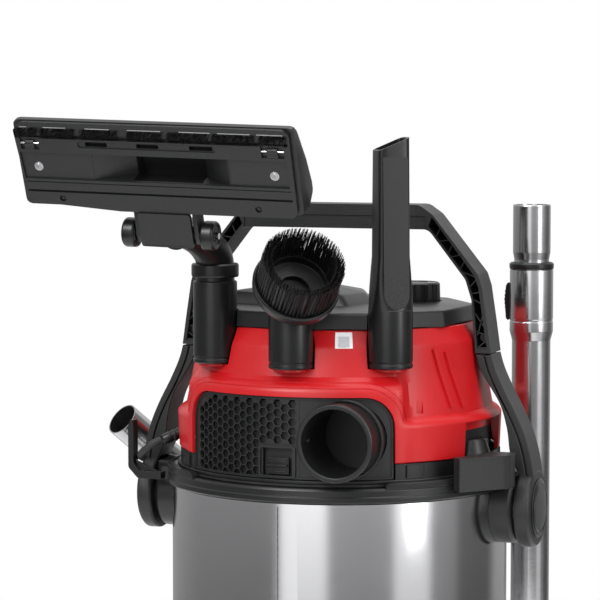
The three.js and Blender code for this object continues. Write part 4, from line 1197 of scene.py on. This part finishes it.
def make_knob():
    x, y = KNOB_AT
    knob = turned([(0, 646.3), (23.8, 646.3, 0.8), (23.8, 652), (23.4, 664.4, 1.2), (21.6, 665.9, 0.5),
                   (20.6, 664.6, 0.5), (0, 664.4)], (x, y, 0), Z, 72, round_=0.4)
    bar = slab(oblong(x - 20.5, y - 3.6, x + 20.5, y + 3.6, 3.2, 4), "xy", 656, 665.8)
    flutes = []
    for k in range(24):
        (u0, v0), (u1, v1) = polar(23.9, 15 * k), polar(22.9, 15 * k)
        flutes.append(rod(0.8, (x + u0, y + v0, 645), (x + u1, y + v1, 664), 8))
    mark = slab(oblong(x + 12, y - 0.6, x + 20, y + 0.6), "xy", 665.6, 666.0)
    piece("switch_dial", cut(together(knob, bar), *flutes), "soft", "knob", ["mode_knob"], angle=30,
          extra=[(mark, "label")])


# ---- floor head on its swivel neck ----

AXLE = Vector((-96.0, -193.0, 721.5))
HEAD_TURN = (Matrix.Translation(AXLE) @ Matrix.Rotation(math.radians(1.6), 4, "Y")
             @ Matrix.Rotation(math.radians(25), 4, "X"))


def tool_socket(x, y, top, round_top=1.2):
    return turned([(16, 598.5), (19.4, 598.5), (20.4, 599.6), (20.4, 602.2, 0.5), (19.6, 603),
                   (19.6, 604.2), (20.4, 605), (20.4, top, round_top), (16, top)], (x, y, 0), Z, 72,
                  ring=True, round_=0.3)


def make_neck():
    x, y = TOOL_AT["nozzle"]
    socket = tool_socket(x, y, 674.6, 2.2)
    waist = turned([(14, 669), (18.6, 669), (18.0, 676), (18.0, 688), (16.2, 694.5, 2), (14, 694.5)],
                   (x, y, 0), Z, 64, ring=True)
    cuff = turned([(17.6, 678), (21.4, 678, 0.8), (22, 680), (22, 689, 0.8), (20.8, 690.6, 0.6),
                   (17.6, 690.6)], (x, y, 0), Z, 72, ring=True, round_=0.4)
    reach = curve_through([(x, y, 684), (x, y - 3, 696), (x - 3, y - 30, 714), AXLE + Vector((0, 22, 1)),
                           AXLE + Vector((0, 8, -2))], 24)
    sizes = [1 - 0.24 * k / 23 for k in range(24)]
    arm = swept(reach, circle(18, 40), sizes)
    hub = moved(turned([(0, -25), (7.5, -25, 1), (9.4, -23.4), (9.4, 23.4), (7.5, 25, 1), (0, 25)],
                       (0, 0, 0), X, 56, round_=0.3), HEAD_TURN)
    plate = moved(slab(oblong(-25, -8, 25, 25.4, 2.5, 3), "xz", -11.0, -7.2), HEAD_TURN)
    rib = moved(block((-22, -11.3, -7.2), (22, -10.6, -6.4)), HEAD_TURN)
    piece("neck_swivel", together(socket, waist, cuff, arm, hub, plate, rib), "soft", "nozzle_swivel",
          ["nozzle_neck"], angle=32)


BRUSH_RAILS = ((-66, -45), (-17, 4), (33, 55))


def make_floor_head():
    front = -6.0
    side = [(0, 28), (19.8, 26.4, 2), (33.8, 36, 6), (33.8, 45, 4), (25.8, 72, 14), (9.8, 108, 8),
            (5.8, 112.5, 3), (0, 112.5)]
    rounded = softened([(front + y, z, *size) for y, z, *size in side], 0, True, 4)
    sections = []
    for x, shrink, drop in ((-133.8, 8, 0.12), (-133.4, 5, 0.07), (-131.5, 2.0, 0.02), (-128.5, 0, 0),
                            (-60, 0, 0), (0, 0, 0), (60, 0, 0), (127, 0, 0), (130, 2.0, 0.02),
                            (131.6, 5, 0.06), (131.9, 8, 0.10)):
        sections.append([(x, front + (y - front) * (1 - shrink / 40), 70 + (z - 70) * (1 - drop))
                         for y, z in rounded])
    body = skin(sections)
    channel = slab(oblong(-62, 55.6, 67, 80.5, 1), "xz", -14, 9)
    duct = slab(oblong(-26, 48, 40, 80.3, 4), "xz", -14, 20)
    groove = slab(oblong(-131.5, 95.6, 126, 106.4), "xz", -14, -3.4)
    rails = [slab(oblong(a, 88.6, b, 93.0, 1.2), "xz", -14, -3.0) for a, b in BRUSH_RAILS]
    body = cut(body, channel, duct, groove, *rails)
    ear = softened([(-6.5, 31), (9, 31), (8.4, 0), (7.2, -4.6), (0, -8.2), (-6, -6.6), (-8.2, 0)], 2, True)
    parts = [body] + [slab(ear, "yz", x, x + 4) for x in (-30, 26)]
    rib = softened([(26, 40), (27.5, 42), (20.5, 72), (17, 72)], 0.4, True)
    parts += [slab(rib, "yz", x, x + 1.6) for x in (-92, -60, 64, 94)]
    piece("floor_head_body", moved(together(*parts), HEAD_TURN), "black", "nozzle", ["nozzle_head"],
          angle=30)


SOLE_SCREWS = ((-96, 36), (91, 33.4))
HINGES = ((-124.6, -115.6), (105.4, 115.6))


def make_sole():
    face = softened([(-134, 104, 5), (-129.6, 40, 6), (-122, 31.5, 6), (-41, 25.5), (123, 26, 4),
                     (127, 31, 4), (127.6, 107, 5), (122, 111.6, 6), (-126, 111.6, 7)], 2, True, 4)
    sole = slab(face, "xz", -9.3, -6.1)
    lowered = slab(softened([(-129.2, 55.2), (122.8, 55.2), (122.8, 81.6), (-130.8, 81.6)], 0.8, True),
                   "xz", -14, -7.4)
    mouth = slab(oblong(-62, 55.6, 67, 80.6, 1.0), "xz", -14, -2)
    groove = slab(softened([(-133.4, 95.6), (125.6, 95.6), (125.8, 106.6), (-133.6, 106.6)], 1.0, True),
                  "xz", -14, -4)
    rail = slab(oblong(-73, 87.6, 58, 94.2, 3.0, 4), "xz", -14, -8.2)
    slots = [slab(oblong(a, 88.6, b, 93.0, 1.2), "xz", -14, -4) for a, b in BRUSH_RAILS]
    lines = [slab(oblong(-130, 42.2, 124, 44.4), "xz", -14, -7.0),
             slab(oblong(-129, 51.8, 123.6, 52.7), "xz", -14, -8.5)]
    holes = [rod(3.1, (x, -12, z), (x, -7.0, z), 24) for x, z in SOLE_SCREWS]
    hinge = [slab(oblong(a, 84.4, b, 96.4, 0.8), "xz", -14, -7.0)
             for a, b in ((-128.6, -110.6), (100.2, 121.6))]
    sole = cut(sole, lowered, mouth, groove, rail, *slots, *lines, *holes, *hinge)
    ramps = []
    for loop in ([(-62, -7.4), (-26, 8), (-26, 9), (-62, 9)], [(67, -7.4), (67, 9), (40, 9), (40, 8)]):
        ramps.append(slab(loop, "xy", 55.7, 80.4))
    inserts = [rod(1.6, (x, -8.0, z), (x, -7.0, z), 6) for x, z in SOLE_SCREWS]
    step = [slab(oblong(x, 55.4, x + 0.7, 81.4), "xz", -7.8, -7.2) for x in (-62.6, 67)]
    barrels = [rod(3.4, (a, -6.6, 90.2), (b, -6.6, 90.2), 28, edge=0.8) for a, b in HINGES]
    barrels += [slab(oblong(a, 84.6, b, 88), "xz", -9.2, -6.5) for a, b in HINGES]
    pins = [rod(0.85, (a, -8.3, 90.6), (b, -8.3, 90.6), 14, edge=0.3)
            for a, b in ((-129, -110.4), (100, 121.8))]
    discs = []
    for x, z in ((-115, 67), (109.6, 66.4)):
        discs.append(rod(4.3, (x, -6.6, z), (x, -8.1, z), 36, edge=0.4))
        discs.append(screw((x, -7.5, z), (0, -1, 0), 3.0))
    piece("floor_head_sole", moved(together(sole, *ramps, *inserts, *step, *barrels), HEAD_TURN),
          "grained", "nozzle", ["nozzle_sole"], angle=30,
          extra=[(moved(together(*discs), HEAD_TURN), "zinc_and_painted_glint"),
                 (moved(together(*pins), HEAD_TURN), "bright")])


def hair(hairs, base, tip, u, v):
    """A four-sided hair, narrower at its tip, its section given by two half diagonals."""
    low = [hairs.verts.new(base + d) for d in (u, v, -u, -v)]
    high = [hairs.verts.new(tip + d * 0.6) for d in (u, v, -u, -v)]
    for i in range(4):
        j = (i + 1) % 4
        hairs.faces.new((low[i], low[j], high[j], high[i]))
    hairs.faces.new(high)
    hairs.faces.new(low[::-1])


def make_brush_strip():
    random.seed(21)
    hairs = bmesh.new()
    for start, end in ((-131.4, -112.4), (-109.4, -75.9), (-70, -34.5), (-25.7, 7.8), (12.8, 51.2),
                       (55.1, 93.5), (98.5, 123.8)):
        for _ in range(int((end - start) * 7)):
            at, z = random.uniform(start, end), random.uniform(97.4, 103.6)
            lean = Vector((random.uniform(-0.6, 0.6), 0, random.uniform(-0.8, 0.3)))
            base, tip = Vector((at, -5.0, z)), Vector((at, -11.6 + random.random() * 1.6, z)) + lean
            a = random.random() * math.pi
            u = Vector((math.cos(a), 0, math.sin(a))) * 0.24
            v = Vector((-math.sin(a), 0, math.cos(a))) * 0.24
            hair(hairs, base, tip, u, v)
    base = slab(oblong(-131, 96.2, 125, 105.6, 1), "xz", -5.4, -4.2)
    # Thin grey metal strips along the groove's top edge: painted glints for the light caught by the tuft
    # holders' edges.
    painted_glints = [slab(oblong(a, 106.5, b, 107.2), "xz", -9.62, -8.6)
             for a, b in ((-127, -120), (-104, -82), (-63.5, -40), (-22.7, 8.6), (26, 55), (62, 92),
                          (98, 122))]
    piece("floor_head_bristles", moved(together(base, hairs), HEAD_TURN), "bristle", "nozzle",
          ["nozzle_brush_strip"], angle=30, extra=[(moved(together(*painted_glints), HEAD_TURN), "zinc_and_painted_glint")])


def make_rollers():
    for name, s in (("left", -1), ("right", 1)):
        wheel = turned([(3.6, 31.7), (9, 31.7, 0.6), (9.6, 33, 0.4), (12.2, 33, 0.4), (12.6, 31.7, 0.8),
                        (13.4, 33.6, 1), (13.4, 42, 1.5), (12.2, 43.8, 1), (10.4, 43.8, 0.5),
                        (9.8, 42.6, 0.4), (5.2, 42.6, 0.4), (4.8, 43.6, 0.4), (3.6, 43.6)], (0, 0, 0),
                       (s, 0, 0), 64, ring=True, round_=0.3)
        piece("roller_" + name, moved(wheel, HEAD_TURN), "soft", "nozzle_roller_" + name,
              ["nozzle_wheel_" + name], angle=30)
    repaint("nozzle_axle", "bright")


# ---- round brush ----

BRUSH_WAY = Vector((0.44, -0.647, 0.622)).normalized()
BRUSH_BEND = Vector((0, -142, 661))


def make_brush():
    x, y = TOOL_AT["brush"]
    socket = tool_socket(x, y, 647.6, 0.5)
    bend = curve_through([(x, y, 646), (x, y, 652), BRUSH_BEND + BRUSH_WAY * 5,
                          BRUSH_BEND + BRUSH_WAY * 10], 14)
    elbow = swept(bend, circle(19.8, 56))
    cup = turned([(0, 3), (19.6, 3), (22, 5, 3), (34, 12.6, 8), (38.2, 14.6, 3), (39.2, 17, 1.5),
                  (39.8, 24.6, 0.8), (39.0, 26, 0.5), (37.8, 26, 0.5), (37.5, 24.2), (29.9, 24.2),
                  (29.6, 26, 0.4), (28.8, 26, 0.4), (28.6, 18, 2), (14.2, 16.6, 1), (14, 7), (0, 7)],
                 BRUSH_BEND, BRUSH_WAY, 96, round_=0.4)
    line = turned([(39.4, 22.4), (39.95, 22.6, 0.2), (39.95, 23.4, 0.2), (39.4, 23.6)], BRUSH_BEND,
                  BRUSH_WAY, 96, ring=True)
    lip = turned([(28.5, 25.6), (29.7, 25.6), (29.7, 26.9, 0.3), (28.5, 26.9, 0.3)], BRUSH_BEND,
                 BRUSH_WAY, 96, ring=True)
    piece("brush_cup", together(socket, elbow, cup, line, lip), "soft", "brush", ["brush_body"], angle=30)


def make_tufts():
    random.seed(33)
    side, up = across(BRUSH_WAY)
    hairs = bmesh.new()
    for ring_, (radius, count, lean) in enumerate(((30.7, 58, -0.06), (33.3, 62, 0.0), (35.9, 66, 0.05))):
        for k in range(count):
            a = 2 * math.pi * (k + 0.5 * ring_) / count
            out = side * math.cos(a) + up * math.sin(a)
            along = side * -math.sin(a) + up * math.cos(a)
            for _ in range(16):
                outward, onward = random.uniform(-0.6, 0.6), random.uniform(-0.7, 0.7)
                spot = BRUSH_BEND + out * (radius + outward) + along * onward
                base = spot + BRUSH_WAY * 24.0
                tip = (spot + BRUSH_WAY * (58.6 + random.uniform(-1.8, 1.6))
                       + out * (lean * 18 + random.uniform(-0.8, 0.8)) + along * random.uniform(-1.1, 1.1))
                t = random.random() * math.pi
                u = (out * math.cos(t) + along * math.sin(t)) * 0.23
                v = (along * math.cos(t) - out * math.sin(t)) * 0.23
                hair(hairs, base, tip, u, v)
    piece("brush_tufts", hairs, "bristle", "brush", ["brush_bristles"], angle=30)


# ---- crevice tool ----

def make_crevice():
    x, y = TOOL_AT["crevice"]
    turn = math.atan2(y, x)
    thick = [[645, 20.4], [652, 19], [660, 17], [670, 15.2], [680, 14.0], [700, 12.9], [812, 11.4]]
    wide = [[650, 20.4], [660, 19.0], [680, 17.0], [700, 15.4], [812, 14.9]]

    def outline(z, less=0.0):
        t, w = between(z, thick) - less, between(z, wide) - less
        power = 2 + 3.6 * smooth_step(z, 646, 690)
        line = []
        for k in range(64):
            a = 2 * math.pi * k / 64
            c, s = math.cos(a), math.sin(a)
            line.append((t * math.copysign(abs(c) ** (2 / power), c),
                         w * math.copysign(abs(s) ** (2 / power), s), z))
        return line

    zs = [640 + 5 * k for k in range(13)] + [710, 730, 750, 770, 790, 812]
    blade = skin([outline(z) for z in zs] + [outline(z, 1.8) for z in reversed(zs)], ring=True)
    slant = Matrix.Translation((0, 0, 802)) @ Matrix.Rotation(math.radians(22), 4, "X")
    trim = moved(block((-60, -60, 0), (60, 60, 60)), slant)
    place = Matrix.Translation((x, y, 0)) @ Matrix.Rotation(turn, 4, "Z")
    # A long flat panel that stands just proud of the blade's outer face.
    line = []
    for k in range(13):
        u, v = polar(1, 180 + 15 * k)
        line.append((12.2 * u, 666 + 13 * v))
    line += [(12.0, 790), (-12.0, 790)]
    panel = skin([[(between(z, thick) - less, w, z) for w, z in line] for less in (0.9, -0.28)])
    parts = [moved(cut(blade, trim), place), moved(panel, place), tool_socket(x, y, 652, 1.0)]
    piece("crevice_blade", together(*parts), "soft", "crevice", ["crevice_tool"], angle=30)


# ---- tubes ----

def tube_part(profile, steps=96):
    """A turned part of the tube that stands in the base's socket."""
    return turned(profile, (LOBE, LOBE, 0), Z, steps, ring=True, round_=0.2)


def make_outer_tube():
    outer = tube_part([(17.9, 84.4), (19, 84.4, 0.4), (19, 604, 3), (21.4, 613, 3), (21.4, 622),
                       (21.0, 623, 0.4), (21.0, 624.4, 0.4), (21.4, 625.4), (21.4, 673.8, 0.6),
                       (17.9, 673.8)])
    piece("outer_pipe", outer, "chrome", "tube", ["outer_tube"], angle=25)


def make_collar():
    collar = tube_part([(18.8, 674.4), (21.6, 674.4, 0.5), (21.9, 676), (21.9, 679.4, 0.8),
                        (20.4, 680.8, 0.5), (18.9, 680.8)], 80)
    piece("tube_neck_ring", collar, "soft", "tube", ["tube_collar"], angle=30)


def make_inner_tube():
    pipe = tube_part([(16.3, 150.2), (17.2, 150.2), (17.2, 684, 3), (18.5, 691, 2), (18.5, 736.4, 1),
                      (18.1, 737.8, 0.6), (16.3, 737.8)])
    # The latch's holes, down the side that faces the drum.
    holes = []
    out = Vector((-0.62, -0.78, 0)).normalized()
    for k in range(7):
        spot = Vector((LOBE, LOBE, 250 + 55 * k))
        holes.append(rod(3.4, spot + out * 12, spot + out * 20, 24))
    piece("inner_pipe", cut(pipe, *holes), "chrome", "tube_inner", ["inner_tube"], angle=25)


def make_latch():
    latch = slab(softened([(125.6, 625.4), (128.1, 622.6), (128.1, 661.6), (125.6, 657.8), (124.2, 644)],
                          2.2, True, 4), "xz", 143.3, 156.7)
    grips = [rod(0.8, (124.3 + abs(z - 644) * 0.08, 144.2, z), (124.3 + abs(z - 644) * 0.08, 155.8, z), 10)
             for z in (636, 640, 644, 648, 652)]
    piece("tube_latch", together(latch, *grips), "soft", "tube_lock", ["tube_lock_slider"], bevel=0.5)


def make_hand_tube():
    mouth, way = Vector((-249, 57, 520)), Vector((0.433, 0.646, -0.62)).normalized()
    x, y, _ = HAND_AT
    path = curve_through([mouth, mouth + way * 60, mouth + way * 105, (-192.5, 146, 428), (x, y, 400),
                          (x, y, 345), (x, y, 285)], 90)
    count, outer, bore = 64, 17.4, 16.3
    outside = swept(path, circle(outer, count))
    rings_out = [[v.co.copy() for v in outside.verts][i * count:(i + 1) * count] for i in range(90)]
    outside.free()
    rings_in = [[centre + (p - centre) * (bore / outer) for p in loop]
                for centre, loop in zip(path, rings_out)]
    piece("hand_grip_tube", skin(rings_out + rings_in[::-1], ring=True), "chrome", "hand", ["hand_tube"],
          angle=40)


def make_cuff():
    cuff = [(18.3, 262.3), (20.2, 262.3, 0.6)]
    for k in range(9):
        z = 265 + 5.2 * k
        cuff += [(20.9, z, 0.5), (20.9, z + 3.2, 0.5), (19.7, z + 3.7, 0.3), (19.7, z + 4.7, 0.3)]
    cuff += [(20.9, 312.6, 0.6), (20.9, 331.6, 1.5), (19.4, 334.8, 0.8), (18.3, 334.8)]
    piece("hose_end_cuff", turned(cuff, HAND_AT, Z, 80, ring=True, round_=0.2), "soft", "hand",
          ["hose_cuff"], angle=35)


def dress_hidden():
    for name, look in (("motor_housing", "grey"), ("impeller", "grey"), ("float_cage", "grey"),
                       ("float", "grey"), ("filter_cartridge", "paper"), ("head_gasket", "rubber")):
        repaint(name, look)


def make_floor():
    mesh = bmesh.new()
    bmesh.ops.create_circle(mesh, cap_ends=True, segments=96, radius=1.1)
    data = bpy.data.meshes.new("studio_floor")
    mesh.to_mesh(data)
    mesh.free()
    data.materials.append(finish("pale_floor", (0.86, 0.86, 0.86), 0.6, grain=2.0, bump=0.02, spread=0.01))
    ground = bpy.data.objects.new("studio_floor", data)
    ground.location.z = -0.0004
    bpy.context.scene.collection.objects.link(ground)


for make in (make_cord, make_floor, make_drum, make_seam, make_rim, make_fittings, make_drain_cap,
             make_base, make_casters, make_pivots, make_hook, make_cradle, make_bow, make_bow_ribs,
             make_arms, make_caps, make_cover, make_creases, make_sticker, make_side_latch, make_panel,
             make_cleaning_tab, make_port, make_head_base, make_deck, make_knob, make_neck,
             make_floor_head, make_sole, make_brush_strip, make_rollers, make_brush, make_tufts,
             make_crevice, make_outer_tube, make_collar, make_inner_tube, make_latch, make_hand_tube,
             make_cuff, dress_hidden):
    make()

bpy.context.view_layer.update()
